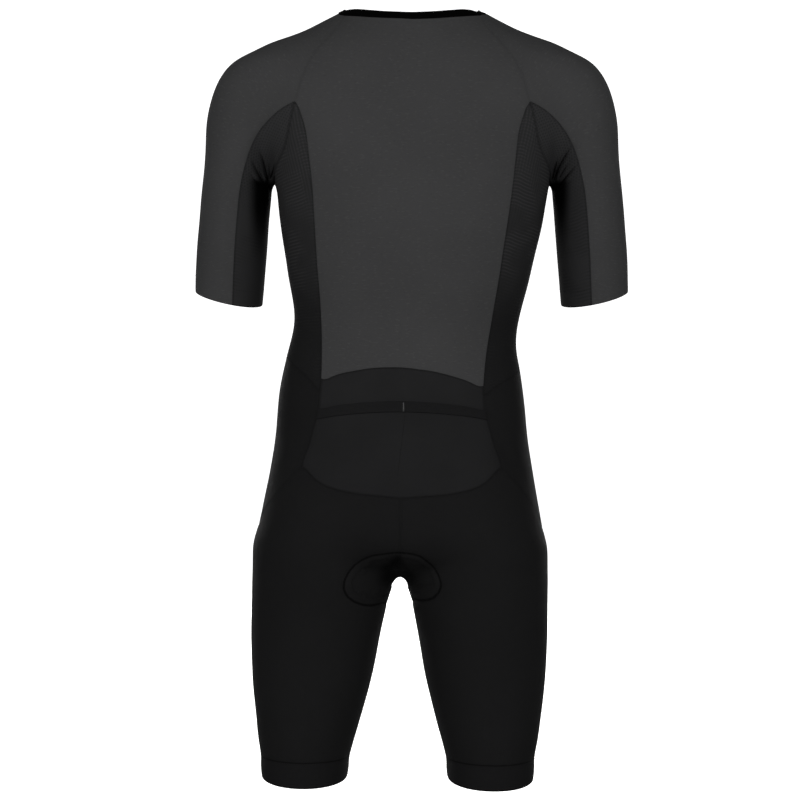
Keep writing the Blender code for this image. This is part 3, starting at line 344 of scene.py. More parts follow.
class SuitTrim(bpy.types.PropertyGroup):
    """The binding, the pad and the zip."""
    binding_swell: length_setting(
        "Binding's swell", "How far the neck binding bulges beyond its flat form", 0.0009)
    binding_edge: length_setting("Binding's edge", "Rounding of the neck binding's edges", 0.0008)
    channel_depth: length_setting("Channel", "Depth of the pad's channels", 0.0016)
    channel_width: length_setting("Channel width", "Half the width of the pad's channels", 0.0022)
    tooth_pitch: length_setting("Tooth pitch", "From one tooth to the next on a side", 0.0025)
    tooth_width: length_setting("Tooth width", "Size of a tooth across the zip", 0.0034)
    tooth_height: length_setting("Tooth height", "Size of a tooth along the zip", 0.00118)
    tooth_depth: length_setting("Tooth depth", "Size of a tooth from front to back", 0.0019)
    slider_width: length_setting("Slider width", "Width of the slider", 0.0096)
    slider_length: length_setting("Slider length", "Length of the slider", 0.0120)
    slider_base: length_setting("Slider base", "Height of the slider's plate", 0.0022)
    slider_lugs: length_setting("Slider lugs", "Height of the lugs that hold the pull", 0.0030)
    pull_width: length_setting("Pull width", "Width of the pull tab", 0.0056)
    pull_length: length_setting("Pull length", "From the pull's hinge to its tip", 0.0240)
    pull_plate: length_setting("Pull plate", "Thickness of the pull tab", 0.0014)
    pull_barrel: length_setting("Pull barrel", "Radius of the pull's hinge barrel", 0.0011)


class SuitColours(bpy.types.PropertyGroup):
    """Colours of the cloths and trims."""
    grey_knit: colour_setting("Grey knit", "the back, fronts and sleeves", 0.0396, 0.0396, 0.0403)
    ribbed_mesh: colour_setting("Ribbed mesh", "the side panels", 0.0204, 0.0204, 0.0209)
    dimple_mesh: colour_setting("Dimple mesh", "the underarm panels", 0.0178, 0.0178, 0.0183)
    lumbar_mesh: colour_setting(
        "Lumbar mesh", "the panel in the small of the back", 0.0128, 0.0128, 0.0132)
    pocket: colour_setting("Pocket", "the back pocket", 0.0120, 0.0120, 0.0124)
    band: colour_setting("Band", "the band at the pocket's mouth", 0.0085, 0.0085, 0.0088)
    black_lycra: colour_setting("Black lycra", "the legs, hips and front waist", 0.0083, 0.0083, 0.0085)
    gripper_band: colour_setting("Gripper band", "the bands at the legs' hems", 0.0076, 0.0076, 0.0079)
    binding: colour_setting("Binding", "the neck's binding", 0.0006, 0.0006, 0.0006)
    black_thread: colour_setting("Black thread", "the thread in the black seams", 0.0056, 0.0056, 0.0058)
    grey_thread: colour_setting("Grey thread", "the thread between grey panels", 0.0300, 0.0300, 0.0306)
    tack_thread: colour_setting("Tack thread", "the tack on the pocket's band", 0.0700, 0.0700, 0.0710)
    pad: colour_setting("Pad", "the seat pad", 0.0120, 0.0120, 0.0130)
    zip: colour_setting("Zip", "the zip's tapes, teeth and slider", 0.0080, 0.0080, 0.0082)


class SuitStage(bpy.types.PropertyGroup):
    """Camera, light and floor."""
    distance: length_setting("Distance", "From the camera to the suit's middle", 2.5)
    width: length_setting("Width", "Width of the view at the suit's middle", 1.0)
    height: length_setting("Height", "Height of the camera", -0.484)
    aside: length_setting("Aside", "How far the camera stands to the wearer's left", 0.0150)
    floor: length_setting("Floor", "Height of the floor", -1.10)
    world: FloatProperty(
        name="Surroundings", description="Brightness of the white surroundings", default=0.22)
    key: power_setting("Key light", "Power of the key light", 48.0)
    fill: power_setting("Side light", "Power of each of the two side lights", 46.0)
    front: power_setting("Front light", "Power of each of the two lights on the front", 70.0)


# Shader expressions

class Value:
    """A socket in a finish, so that shader maths reads as an expression."""

    def __init__(self, finish, socket):
        self.finish = finish
        self.socket = socket

    def maths(self, operation, *others, first=None):
        values = [self, *others] if first is None else [first, self]
        return self.finish.node("ShaderNodeMath", {"operation": operation}, values)

    def __add__(self, other):
        return self.maths("ADD", other)

    def __radd__(self, other):
        return self.maths("ADD", first=other)

    def __sub__(self, other):
        return self.maths("SUBTRACT", other)

    def __rsub__(self, other):
        return self.maths("SUBTRACT", first=other)

    def __mul__(self, other):
        return self.maths("MULTIPLY", other)

    def __rmul__(self, other):
        return self.maths("MULTIPLY", first=other)

    def __truediv__(self, other):
        return self.maths("DIVIDE", other)

    def __rtruediv__(self, other):
        return self.maths("DIVIDE", first=other)

    def __pow__(self, other):
        return self.maths("POWER", other)

    def fraction(self):
        return self.maths("FRACT")

    def floor(self):
        return self.maths("FLOOR")

    def absolute(self):
        return self.maths("ABSOLUTE")

    def wave(self):
        """From 0 to 1 and back, once for each whole number."""
        return (self * math.tau).maths("SINE") * 0.5 + 0.5

    def at_least(self, other):
        return self.maths("MAXIMUM", other)

    def between(self, low, high):
        """0 below low, 1 above high and smooth between them."""
        settings = {"interpolation_type": "SMOOTHSTEP", "clamp": True}
        values = {"Value": self, "From Min": low, "From Max": high}
        return self.finish.node("ShaderNodeMapRange", settings, values)


class Finish:
    """A material and its shader nodes."""

    def __init__(self, name, roughness=0.95, specular=0.03, sheen=0.0):
        self.material = bpy.data.materials.new(name)
        self.material.use_nodes = True
        self.tree = self.material.node_tree
        self.shader = self.tree.nodes["Principled BSDF"]
        self.feed(self.shader.inputs["Roughness"], roughness)
        self.feed(self.shader.inputs["Specular IOR Level"], specular)
        self.feed(self.shader.inputs["Sheen Weight"], sheen)
        self.feed(self.shader.inputs["Sheen Roughness"], 0.4)

    def feed(self, socket, value):
        """Links a value to a socket, or sets the socket to a number or a colour."""
        if isinstance(value, Value):
            self.tree.links.new(value.socket, socket)
        else:
            socket.default_value = value

    def node(self, kind, settings=None, values=(), output=0):
        """A node of a kind, with its settings and then the values or links of its sockets."""
        made = self.tree.nodes.new(kind)
        for key, setting in (settings or {}).items():
            setattr(made, key, setting)
        for key, value in (values.items() if isinstance(values, dict) else enumerate(values)):
            self.feed(made.inputs[key], value)
        return Value(self, made.outputs[output])

    def vectors(self, operation, first, second, output=0):
        """Vector maths on two vectors; its number, where it gives one, is output 1."""
        return self.node("ShaderNodeVectorMath", {"operation": operation}, [first, second], output)

    def parts(self, vector):
        """A vector's three numbers."""
        split = self.node("ShaderNodeSeparateXYZ", values=[vector])
        return [Value(self, socket) for socket in split.socket.node.outputs]

    def on_suit(self):
        """A point's place on the suit, as a vector."""
        return self.node("ShaderNodeTexCoord", output=3)

    def place(self):
        """A point's place on the suit: out from the middle, back from the middle and height."""
        return self.parts(self.on_suit())

    def cloth_map(self):
        """Where a point lies on the flat cut, in metres: across and up, and both as a vector."""
        flat = self.node("ShaderNodeUVMap", {"uv_map": "cut"})
        return [*self.parts(flat)[:2], flat]

    def attribute(self, name):
        return self.node("ShaderNodeAttribute", {"attribute_name": name}, output=2)

    def noise(self, vector, scale, detail=2.0):
        """Noise between 0 and 1."""
        return self.node("ShaderNodeTexNoise", values={"Vector": vector, "Scale": scale, "Detail": detail})

    def stretched(self, vector, across, up):
        """A vector scaled by two factors, so that a pattern runs along the cloth."""
        values = {"Vector": vector, "Scale": (across, up, 1.0)}
        return self.node("ShaderNodeMapping", values=values)

    def mix(self, factor, first, second):
        """Between two colours."""
        values = {"Factor": factor, 6: self.colour(first), 7: self.colour(second)}
        return self.node("ShaderNodeMix", {"data_type": "RGBA"}, values, output=2)

    def colour(self, value):
        return value if isinstance(value, Value) else (*value, 1.0)

    def relief(self, height, distance, strength=1.0, below=None):
        """A bump from a height between 0 and 1 that stands for a distance."""
        values = {"Height": height, "Distance": distance, "Strength": strength}
        if below is not None:
            values["Normal"] = below
        return self.node("ShaderNodeBump", values=values)

    def set(self, **sockets):
        """Links or sets the shader's own sockets."""
        for name, value in sockets.items():
            value = self.colour(value) if name.endswith("color") else value
            self.feed(self.shader.inputs[name.replace("_", " ").title()], value)
        return self.material


def shaded(colour, factor):
    """A colour made lighter or darker."""
    return tuple(min(1.0, c * factor) for c in colour)


def from_middle(value):
    """0 in the middle of each whole step of a value, and 1 at its ends."""
    return (value.fraction() * 2 - 1).absolute()


def stocking_stitch(across, up, loop):
    """Height of a plain knit: columns of V-shaped loops."""
    wale, course = loop
    lean = from_middle(across / wale)
    return (up / course + lean * 0.5).wave() * (1 - lean ** 6)


def pits(across, up, size, beside, above, stagger=0.5):
    """Rows of small hollows, 1 in their middles, each row moved on by a share of a hollow."""
    width, height = size
    moved = across / width + (up / height).floor() * stagger
    return (1 - from_middle(moved)).between(*beside) * (1 - from_middle(up / height)).between(*above)


def mottled(finish, noise, colour, change):
    """A colour that drifts a little with a noise."""
    return finish.mix(noise.between(0.3, 0.7), shaded(colour, 1 - change), shaded(colour, 1 + change))


def layered(finish, base, colour, *layers):
    """A base with a colour over it, made darker or lighter by a factor where each mask is."""
    for mask, factor in layers:
        base = finish.mix(mask, base, shaded(colour, factor))
    return base


def seam_shade(finish, colour, depth=0.30):
    """A colour with painted shade towards the seams, where the cloth is drawn in."""
    near = 1 - finish.attribute("seam").between(*SEAM_SHADE_SPAN)
    return finish.mix(near * depth, colour, SEAM_SHADE_BLACK)


def pad_shade(finish, colour):
    """A colour with painted shade in the groove of the pad's sewn line and in the folds at the crotch."""
    line = 1 - finish.attribute("pad").absolute().between(*PAD_SHADE_SPAN)
    dark = (line * 0.80).at_least(finish.attribute("crease") * 0.92)
    return finish.mix(dark, colour, PAINTED_SHADE_BLACK)


def folded(finish):
    """How deep a point lies in a fine crease at an armpit, from 0 to 1; it drives the crease's relief and its
    painted shade.
    """
    place = finish.on_suit()
    depth = finish.parts(place)[1]
    faces = {face: ((depth - CREASE_MIDDLE) * face).between(0, CREASE_FADE) for face in (1, -1)}
    inner, outer, full = CREASE_SHADE
    total = 0.0
    for x0, z0, x1, z1, bow, width, deep, face in CREASES:
        run = Vector((x1 - x0, 0, z1 - z0))
        start = finish.vectors("SUBTRACT", place, (x0, 0.0, z0))
        along = finish.vectors("DOT_PRODUCT", start, run / run.length_squared, output=1)
        aside = finish.vectors("DOT_PRODUCT", start, Vector((-run.z, 0, run.x)).normalized(), output=1)
        away = (aside - along * (1 - along) * 4 * bow).absolute()
        ends = along.between(*CREASE_ENDS[0]) * (1 - along).between(*CREASE_ENDS[1])
        line = (1 - away.between(inner, width * outer)) * ends * faces[face] * min(1.0, deep / full)
        total = line.at_least(total)
    return total


def armpit_shade(finish):
    """Painted shade on the inside of the sleeve, just below the armpit, where the torso keeps the light off.
    """
    across, _, height = finish.place()
    total = 0.0
    for near, far, low, high in SLEEVE_SHADE_STRIPS:
        side = math.copysign(1.0, near)
        out = across * side
        strip = out.between(*HOLLOW_SIDE) * (1 - out.between(near * side, far * side))
        strip = strip * height.between(low, low + HOLLOW_FOOT) * (1 - height.between(high - HOLLOW_TOP, high))
        total = strip.at_least(total)
    return total


def grey_knit(colours):
    """Matte jersey with a faint heather."""
    finish = Finish("grey_knit")
    colour = colours.grey_knit
    across, up, flat = finish.cloth_map()
    knit = stocking_stitch(across, up, GREY_LOOP)
    slow = finish.noise(flat, 9.0)
    light_fleck = finish.noise(finish.stretched(flat, 150.0, 520.0), 1.0, 1.0)
    dark_fleck = finish.noise(finish.stretched(flat, 190.0, 480.0), 1.0, 1.0)
    base = layered(
        finish, mottled(finish, slow, colour, 0.035), colour,
        (light_fleck.between(0.60, 0.70) * 0.24, 1.8),
        (dark_fleck.between(0.62, 0.72) * 0.22, 0.5),
        # painted shade between the loops
        ((1 - knit) * 0.16, 0.45),
    )
    return finish.set(
        base_color=seam_shade(finish, base, 0.06),
        roughness=0.90 + knit * 0.10,
        normal=finish.relief(knit, 0.00016, 0.55, finish.relief(slow, 0.0012, 0.25)),
    )


def ribbed_mesh(colours):
    """Light mesh with fine ribs across, crossed by upright ones towards the armhole."""
    finish = Finish("ribbed_mesh")
    colour = colours.ribbed_mesh
    across, up, flat = finish.cloth_map()
    height = finish.place()[2]
    upright = (across / UPRIGHT_RIB).wave() * height.between(-0.300, -0.200)
    patches = finish.noise(flat, 26.0, 1.0)
    weave = (up / RIB).wave() * patches.between(0.35, 0.60)
    weave = weave + upright * (1 - patches.between(0.40, 0.62)) * 0.8
    holes = pits(across, up, MESH_HOLE, (0.45, 0.8), (0.45, 0.8), stagger=0.0)
    # Lighter up towards the armhole. Low on the panel the mesh gets painted shade, which also dims the
    # painted highlights on the ribs' crests.
    outside_painted_shade = height.between(-0.400, -0.300)
    base = finish.mix(height.between(-0.330, -0.170), colour, shaded(colour, 1.20))
    base = finish.mix(outside_painted_shade, shaded(colour, 0.46), base)
    base = layered(
        finish, base, colour,
        # painted shade in the ribs' troughs and in the holes, and painted highlights on the ribs' crests
        ((1 - weave) * 0.42, 0.42),
        (weave.between(0.75, 1.0) * (outside_painted_shade * 0.24 + 0.06), 1.7),
        (holes * 0.35, 0.25),
    )
    return finish.set(
        base_color=seam_shade(finish, base),
        normal=finish.relief(weave, 0.00030, 0.5, finish.relief(1 - holes, 0.00015, 0.5)),
    )


def dimple_mesh(colours):
    """Stretch mesh with staggered dimples, and fine ribs low on the sleeve."""
    finish = Finish("dimple_mesh")
    colour = colours.dimple_mesh
    across, up, flat = finish.cloth_map()
    height = finish.place()[2]
    at_armpit = height.between(-0.260, -0.200)
    dimples = pits(across, up, DIMPLE, (0.30, 0.85), (0.15, 0.70)) * at_armpit
    ribs = (up / RIB).wave() * (1 - at_armpit) * finish.noise(flat, 24.0, 1.0).between(0.38, 0.62)
    crease = folded(finish)
    base = finish.mix(height.between(-0.230, -0.150), shaded(colour, 1.05), shaded(colour, 1.35))
    # painted shade in the dimples, in the ribs' troughs and in the creases' troughs
    base = layered(finish, base, colour, (dimples * 0.42, 0.35), (ribs * 0.34, 0.45), (crease * 0.72, 0.08))
    # painted shade on the inside of the sleeve below the armpit
    base = finish.mix(armpit_shade(finish), base, PAINTED_SHADE_BLACK)
    soft = finish.relief(finish.noise(flat, 14.0, 1.0), 0.0012, 0.25)
    deep = finish.relief(1 - crease, 0.0020, 0.9, soft)
    return finish.set(
        base_color=seam_shade(finish, base),
        normal=finish.relief(1 - dimples - ribs * 0.4, 0.00035, 0.6, deep),
    )


def lycra(name, colour):
    """Smooth stretch knit with very fine columns."""
    finish = Finish(name, roughness=0.85, specular=0.04)
    across, up, flat = finish.cloth_map()
    knit = stocking_stitch(across, up, LYCRA_LOOP)
    slow = finish.noise(flat, 7.0)
    # painted shade between the loops
    base = layered(finish, mottled(finish, slow, colour, 0.05), colour, ((1 - knit) * 0.20, 0.5))
    return finish.set(
        base_color=pad_shade(finish, seam_shade(finish, base, 0.10)),
        roughness=0.80 + knit * 0.10,
        normal=finish.relief(knit, 0.00012, 0.5, finish.relief(slow, 0.0016, 0.25)),
    )


def gripper_band(colours):
    """Dense elastic with fine upright ribs."""
    finish = Finish("gripper_band", roughness=0.85, specular=0.04)
    across, up, _ = finish.cloth_map()
    ribs = (across / GRIPPER_RIB).wave()
    rows = (up / GRIPPER_ROW).wave()
    # painted shade between the ribs
    base = layered(finish, colours.gripper_band, colours.gripper_band, ((1 - ribs) * 0.35, 0.55))
    return finish.set(
        base_color=seam_shade(finish, base, 0.85),
        normal=finish.relief(ribs + rows * 0.25, 0.00020, 0.6),
    )


def close_mesh(name, colour):
    """Close mesh with rows of pin holes."""
    finish = Finish(name)
    across, up, flat = finish.cloth_map()
    holes = pits(across, up, PIN_HOLE, (0.50, 0.85), (0.45, 0.85))
    base = mottled(finish, finish.noise(flat, 16.0, 1.0), colour, 0.05)
    return finish.set(
        # painted shade in the pin holes
        base_color=seam_shade(finish, layered(finish, base, colour, (holes * 0.35, 0.35))),
        normal=finish.relief(1 - holes, 0.00015, 0.5),
    )


def binding_cloth(colours):
    """Dense black knit tape."""
    finish = Finish("binding", specular=0.02)
    grain = finish.noise(finish.on_suit(), 900.0)
    base = finish.mix(grain, shaded(colours.binding, 0.7), shaded(colours.binding, 1.4))
    return finish.set(base_color=base, normal=finish.relief(grain, 0.0002, 0.4))


def pad_cloth(colours):
    """Brushed microfibre over perforated foam."""
    finish = Finish("pad_foam", sheen=0.1)
    place = finish.on_suit()
    cells = finish.node("ShaderNodeTexVoronoi", {"feature": "F1"}, {"Vector": place, "Scale": 260.0})
    holes = 1 - cells.between(0.12, 0.28)
    base = finish.mix(finish.noise(place, 1500.0), shaded(colours.pad, 0.8), shaded(colours.pad, 1.2))
    # painted shade in the perforations
    base = layered(finish, base, colours.pad, (holes * 0.7, 0.2))
    return finish.set(base_color=base, normal=finish.relief(1 - holes, 0.0004, 0.5))


def tape_cloth(colours):
    """Woven zip tape with upright ribs."""
    finish = Finish("zip_tape", roughness=0.9, specular=0.05)
    ribs = (finish.place()[0] / TAPE_RIB).wave()
    # painted shade between the ribs and painted light on their crests
    base = finish.mix(ribs, shaded(colours.zip, 0.75), shaded(colours.zip, 1.15))
    return finish.set(base_color=base, normal=finish.relief(ribs, 0.0002, 0.5))


def moulded_plastic(colours):
    """Moulded plastic with a fine bloom."""
    finish = Finish("zip_moulded", roughness=0.45, specular=0.35)
    bloom = finish.noise(finish.on_suit(), 700.0)
    return finish.set(base_color=colours.zip, roughness=0.38 + bloom * 0.18)


def stitch_thread(name, colour):
    """Twisted thread."""
    finish = Finish(name, roughness=0.75, specular=0.05)
    twist = finish.noise(finish.on_suit(), 2600.0, 1.0)
    base = finish.mix(twist.between(0.35, 0.65), shaded(colour, 0.75), shaded(colour, 1.25))
    return finish.set(base_color=base, normal=finish.relief(twist, 0.00008, 0.5))


# Meshes

def deselect():
    for other in bpy.context.selected_objects:
        other.select_set(False)


def only(piece):
    """Selects one object and makes it active."""
    deselect()
    piece.select_set(True)
    bpy.context.view_layer.objects.active = piece


def round_edges(piece, width, segments, turn=None):
    """Bevels a piece's edges, and with a turn in degrees those alone that turn by more than that."""
    bevel = piece.modifiers.new("bevel", "BEVEL")
    bevel.width = width
    bevel.segments = segments
    if turn is not None:
        bevel.limit_method = "ANGLE"
        bevel.angle_limit = math.radians(turn)
    only(piece)
    bpy.ops.object.modifier_apply(modifier=bevel.name)


def linked(name, mesh):
    """A mesh as an object in the scene."""
    made = bpy.data.objects.new(name, mesh)
    bpy.context.scene.collection.objects.link(made)
    return made


def smooth_mesh(name, points, corners, sizes=None):
    """An object shaded smooth, from its faces' corners: quads, unless the faces' sizes are given."""
    sizes = np.full(len(corners), 4) if sizes is None else sizes
    mesh = bpy.data.meshes.new(name)
    mesh.vertices.add(len(points))
    mesh.vertices.foreach_set("co", np.asarray(points, np.float32).ravel())
    mesh.loops.add(corners.size)
    mesh.loops.foreach_set("vertex_index", corners.astype(np.int32).ravel())
    mesh.polygons.add(len(sizes))
    mesh.polygons.foreach_set("loop_start", (np.cumsum(sizes) - sizes).astype(np.int32))
    mesh.update(calc_edges=True)
    mesh.shade_smooth()
    return linked(name, mesh)


def read(data, key, kind, width):
    """Numbers of a mesh's collection as an array with so many columns."""
    found = np.empty(len(data) * width, kind)
    data.foreach_get(key, found)
    return found.reshape(-1, width) if width > 1 else found


def points_of(mesh):
    return read(mesh.vertices, "co", np.float32, 3).astype(float)


def set_points(mesh, points):
    mesh.vertices.foreach_set("co", points.astype(np.float32).ravel())
    mesh.update()


def sides_of(faces):
    """The two points of each face's first side, then of each face's second side, and so on."""
    size = faces.shape[1]
    return np.concatenate([faces[:, [k, (k + 1) % size]] for k in range(size)])


def put_on(piece, material, slot, body="suit", stands_for=()):
    """Gives a finished piece its material and its body, and hides the CAD nodes that it stands for."""
    piece.data.materials.clear()
    piece.data.materials.append(material)
    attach(piece, body)
    if stands_for:
        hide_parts(*stands_for)


def unit(vectors):
    return vectors / np.maximum(np.linalg.norm(vectors, axis=-1, keepdims=True), 1e-12)


def smoothstep(values, low, high):
    share = np.clip((values - low) / (high - low), 0, 1)
    return share * share * (3 - 2 * share)


# Paths and stitches

def chains(edges):
    """Runs of edges as lists of point numbers, cut where they fork; a closed one ends at its start."""
    links = {}
    left = set()
    for a, b in np.sort(edges, axis=1).tolist():
        links.setdefault(a, []).append(b)
        links.setdefault(b, []).append(a)
        left.add((a, b))

    def walked(a, b):
        run = [a]
        while (min(a, b), max(a, b)) in left:
            left.remove((min(a, b), max(a, b)))
            run.append(b)
            if len(links[b]) != 2:
                break
            a, b = b, sum(links[b]) - a
        return run

    forks = [point for point in links if len(links[point]) != 2]
    runs = [walked(a, b) for a in forks for b in links[a] if (min(a, b), max(a, b)) in left]
    while left:
        runs.append(walked(*min(left)))
    return runs


def resampled(points, step):
    """Points at even steps along a path."""
    length = np.concatenate([[0], np.cumsum(np.linalg.norm(np.diff(points, axis=0), axis=1))])
    wanted = np.linspace(0, length[-1], max(2, round(length[-1] / step) + 1))
    return np.stack([np.interp(wanted, length, points[:, k]) for k in range(3)], axis=1)


def on_tree(tree, points):
    """The nearest places on a surface, its normals there and its faces' numbers."""
    found = [tree.find_nearest(point) for point in points]
    return tuple(np.array([row[k] for row in found]) for k in range(3))


class Sewing:
    """Rows of stitches, gathered and then made as one mesh for each thread."""

    def __init__(self, tree, thread):
        self.tree = tree
        self.thread = thread
        self.rows = {}

    def row(self, kind, path, aside=0.0, lift=0.0):
        """Stitches along a path, moved aside to its left as seen from outside."""
        points = resampled(path, self.thread.pitch)
        ahead = unit(np.gradient(points, axis=0))
        out = on_tree(self.tree, points)[1]
        self.threads(kind, points + aside * unit(np.cross(out, ahead)), lift, STITCH_SHARE)

    def threads(self, kind, points, lift, share=1.0):
        """A stitch from each point to the next, on the cloth or lifted off it."""
        points, out, _ = on_tree(self.tree, points)
        starts = points[:-1] + lift * out[:-1]
        runs = (points[1:] + lift * out[1:] - starts) * share
        self.rows.setdefault(kind, []).append((starts, runs, out[:-1]))

    def made(self, kind):
        """The mesh of all the rows of a kind: each stitch is a short tube that dips in at its ends."""
        starts, runs, out = (np.concatenate(part) for part in zip(*self.rows[kind]))
        across = unit(np.cross(out, runs))
        radius = self.thread.radius
        rings = []
        for share, thick, height in STITCH:
            middle = starts + share * runs + radius * height * out
            for turn in np.arange(4) * math.pi / 2:
                rings.append(middle + radius * thick * (math.cos(turn) * across + math.sin(turn) * out))
        points = np.stack(rings, axis=1)
        size = len(STITCH)
        quads = [(4 * r + k, 4 * r + (k + 1) % 4, 4 * r + 4 + (k + 1) % 4, 4 * r + 4 + k)
                 for r in range(size - 1) for k in range(4)]
        quads += [(3, 2, 1, 0), (4 * size - 4, 4 * size - 3, 4 * size - 2, 4 * size - 1)]
        steps = np.arange(len(starts))[:, None, None] * 4 * size
        quads = (np.array(quads)[None] + steps).reshape(-1, 4)
        return smooth_mesh(kind + "_stitches", points.reshape(-1, 3), quads)


# The skin: all the cloth as one mesh

def merged_shape(node):
    """A CAD node's faces, with the points that lie on each other merged."""
    shape = bmesh.new()
    shape.from_mesh(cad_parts[node].data)
    bmesh.ops.remove_doubles(shape, verts=shape.verts, dist=SHEET_MERGE)
    return shape


def join_quads(shape, turn):
    """Joins triangles in pairs, where one turns by less than an angle from the other."""
    bmesh.ops.join_triangles(
        shape, faces=shape.faces, angle_face_threshold=turn, angle_shape_threshold=math.pi,
        topology_influence=1.3)


def as_object(shape, name):
    """A shape that is done with, as an object in the scene."""
    mesh = bpy.data.meshes.new(name)
    shape.to_mesh(mesh)
    shape.free()
    return linked(name, mesh)


def outer_face(node, middle):
    """The outer face of a CAD wall as points and faces, mostly quads."""
    shape = merged_shape(node)
    rim = [face for face in shape.faces if min(edge.calc_length() for edge in face.edges) < RIM_EDGE]
    bmesh.ops.delete(shape, geom=rim, context="FACES")
    sides = []
    left = set(shape.faces)
    while left:
        stack = [left.pop()]
        found = []
        while stack:
            face = stack.pop()
            found.append(face)
            for edge in face.edges:
                for other in edge.link_faces:
                    if other in left:
                        left.remove(other)
                        stack.append(other)
        sides.append(found)

    def outwards(faces):
        turned = 0.0
        for face in faces:
            centre = face.calc_center_median()
            turned += face.calc_area() * ((centre.x - middle) * face.normal.x + centre.y * face.normal.y)
        return turned

    outer = set(max(sides, key=outwards))
    bmesh.ops.delete(shape, geom=[face for face in shape.faces if face not in outer], context="FACES")
    join_quads(shape, math.pi)
    shape.verts.index_update()
    points = [vertex.co.copy() for vertex in shape.verts]
    faces = [[vertex.index for vertex in face.verts] for face in shape.faces]
    shape.free()
    return points, faces


def tree_of(node):
    """A search tree of a CAD node's faces."""
    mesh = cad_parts[node].data
    return BVHTree.FromPolygons([v.co for v in mesh.vertices], [p.vertices for p in mesh.polygons])


def welded_panels():
    """An object of all the panels' outer faces, joined at their seams."""
    shape = bmesh.new()
    panel = shape.faces.layers.int.new("panel")
    over = shape.faces.layers.int.new("over")
    layers = [tree_of(node) for node in OVERLAYS]
    for number, row in enumerate(PANELS):
        points, faces = outer_face(row[0], row[2])
        vertices = [shape.verts.new(point) for point in points]
        for face in faces:
            made = shape.faces.new([vertices[k] for k in face])
            made[panel] = number
            if row[0] == "lumbar_panel":
                near = [tree.find_nearest(made.calc_center_median())[3] < OVERLAY_REACH for tree in layers]
                made[over] = near.index(True) + 1 if any(near) else 0
    for edge in shape.edges:
        edge.seam = edge.is_boundary
    bmesh.ops.remove_doubles(shape, verts=shape.verts, dist=WELD)
    made = as_object(shape, "skin")
    only(made)
    bpy.ops.object.mode_set(mode="EDIT")
    bpy.ops.mesh.select_all(action="SELECT")
    bpy.ops.uv.unwrap(method="ANGLE_BASED", margin=0.01)
    bpy.ops.object.mode_set(mode="OBJECT")
    return made


def smoothed(piece, levels):
    """Subdivides a piece into a smooth one that still passes through its points."""
    wanted = read(piece.data.vertices, "co", np.float32, 3)
    net = wanted.copy()
    modifier = piece.modifiers.new("smooth", "SUBSURF")
    modifier.levels = modifier.render_levels = levels
    modifier.boundary_smooth = "PRESERVE_CORNERS"
    for _ in range(NET_ROUNDS):
        found = piece.evaluated_get(bpy.context.evaluated_depsgraph_get()).data
        reached = read(found.vertices, "co", np.float32, 3)[:len(wanted)]
        net += NET_SHARE * (wanted - reached)
        set_points(piece.data, net)
    only(piece)
    bpy.ops.object.modifier_apply(modifier=modifier.name)
    piece.data.shade_smooth()
    return piece


class Skin:
    """The smooth, creased cloth: points, quads, the panel of each and its flat map."""

    def __init__(self, piece):
        mesh = piece.data
        self.points = points_of(mesh)
        self.quads = read(mesh.loops, "vertex_index", np.int32, 1).reshape(-1, 4)
        self.panel = read(mesh.attributes["panel"].data, "value", np.int32, 1)
        self.over = read(mesh.attributes["over"].data, "value", np.int32, 1)
        self.flat = read(mesh.uv_layers[0].uv, "vector", np.float32, 2).reshape(-1, 4, 2).astype(float)
        edges = read(mesh.edges, "vertices", np.int32, 2)
        marked = read(mesh.attributes["uv_seam"].data, "value", bool, 1)
        self.seams = edges[marked]
        pairs = np.sort(sides_of(self.quads), axis=1)
        found, count = np.unique(pairs, axis=0, return_counts=True)
        self.rims = found[count == 1]
        self.fields = {}
        for number in range(len(PANELS)):
            self.lay_flat(self.panel == number)

    def lay_flat(self, own):
        """Scales a panel's flat map to real size and turns it upright."""
        flat = self.flat[own]
        corners = self.points[self.quads[own]]
        cross = np.cross(corners[:, 2] - corners[:, 0], corners[:, 3] - corners[:, 1])
        area = np.linalg.norm(cross, axis=1).sum() / 2
        a, b = flat[:, 2] - flat[:, 0], flat[:, 3] - flat[:, 1]
        flat_area = abs(a[:, 0] * b[:, 1] - a[:, 1] * b[:, 0]).sum() / 2
        spots = flat.reshape(-1, 2)
        heights = corners[..., 2].ravel()
        spots = (spots - spots.mean(0)) * math.sqrt(area / flat_area)
        slope = np.linalg.lstsq(np.c_[spots, np.ones(len(spots))], heights, rcond=None)[0][:2]
        up = slope / np.linalg.norm(slope)
        turned = spots @ np.array([[up[1], up[0]], [-up[0], up[1]]])
        self.flat[own] = turned.reshape(flat.shape)

    def normals(self):
        """Outward normal at each point."""
        corners = self.points[self.quads]
        cross = np.cross(corners[:, 2] - corners[:, 0], corners[:, 3] - corners[:, 1])
        total = np.zeros_like(self.points)
        for k in range(4):
            np.add.at(total, self.quads[:, k], cross)
        return unit(total)

    def surface(self):
        """A search tree of the skin's faces."""
        return BVHTree.FromPolygons(self.points.tolist(), self.quads.tolist())


def tree_of_points(points):
    """A search tree of points."""
    tree = KDTree(len(points))
    for k, point in enumerate(points):
        tree.insert(point, k)
    tree.balance()
    return tree


def distances(points, targets, reach):
    """How far each point is from the nearest target, up to a reach."""
    tree = tree_of_points(targets)
    low, high = targets.min(0) - reach, targets.max(0) + reach
    found = np.full(len(points), reach)
    for k in np.flatnonzero(((points > low) & (points < high)).all(1)):
        found[k] = min(reach, tree.find(points[k])[2])
    return found


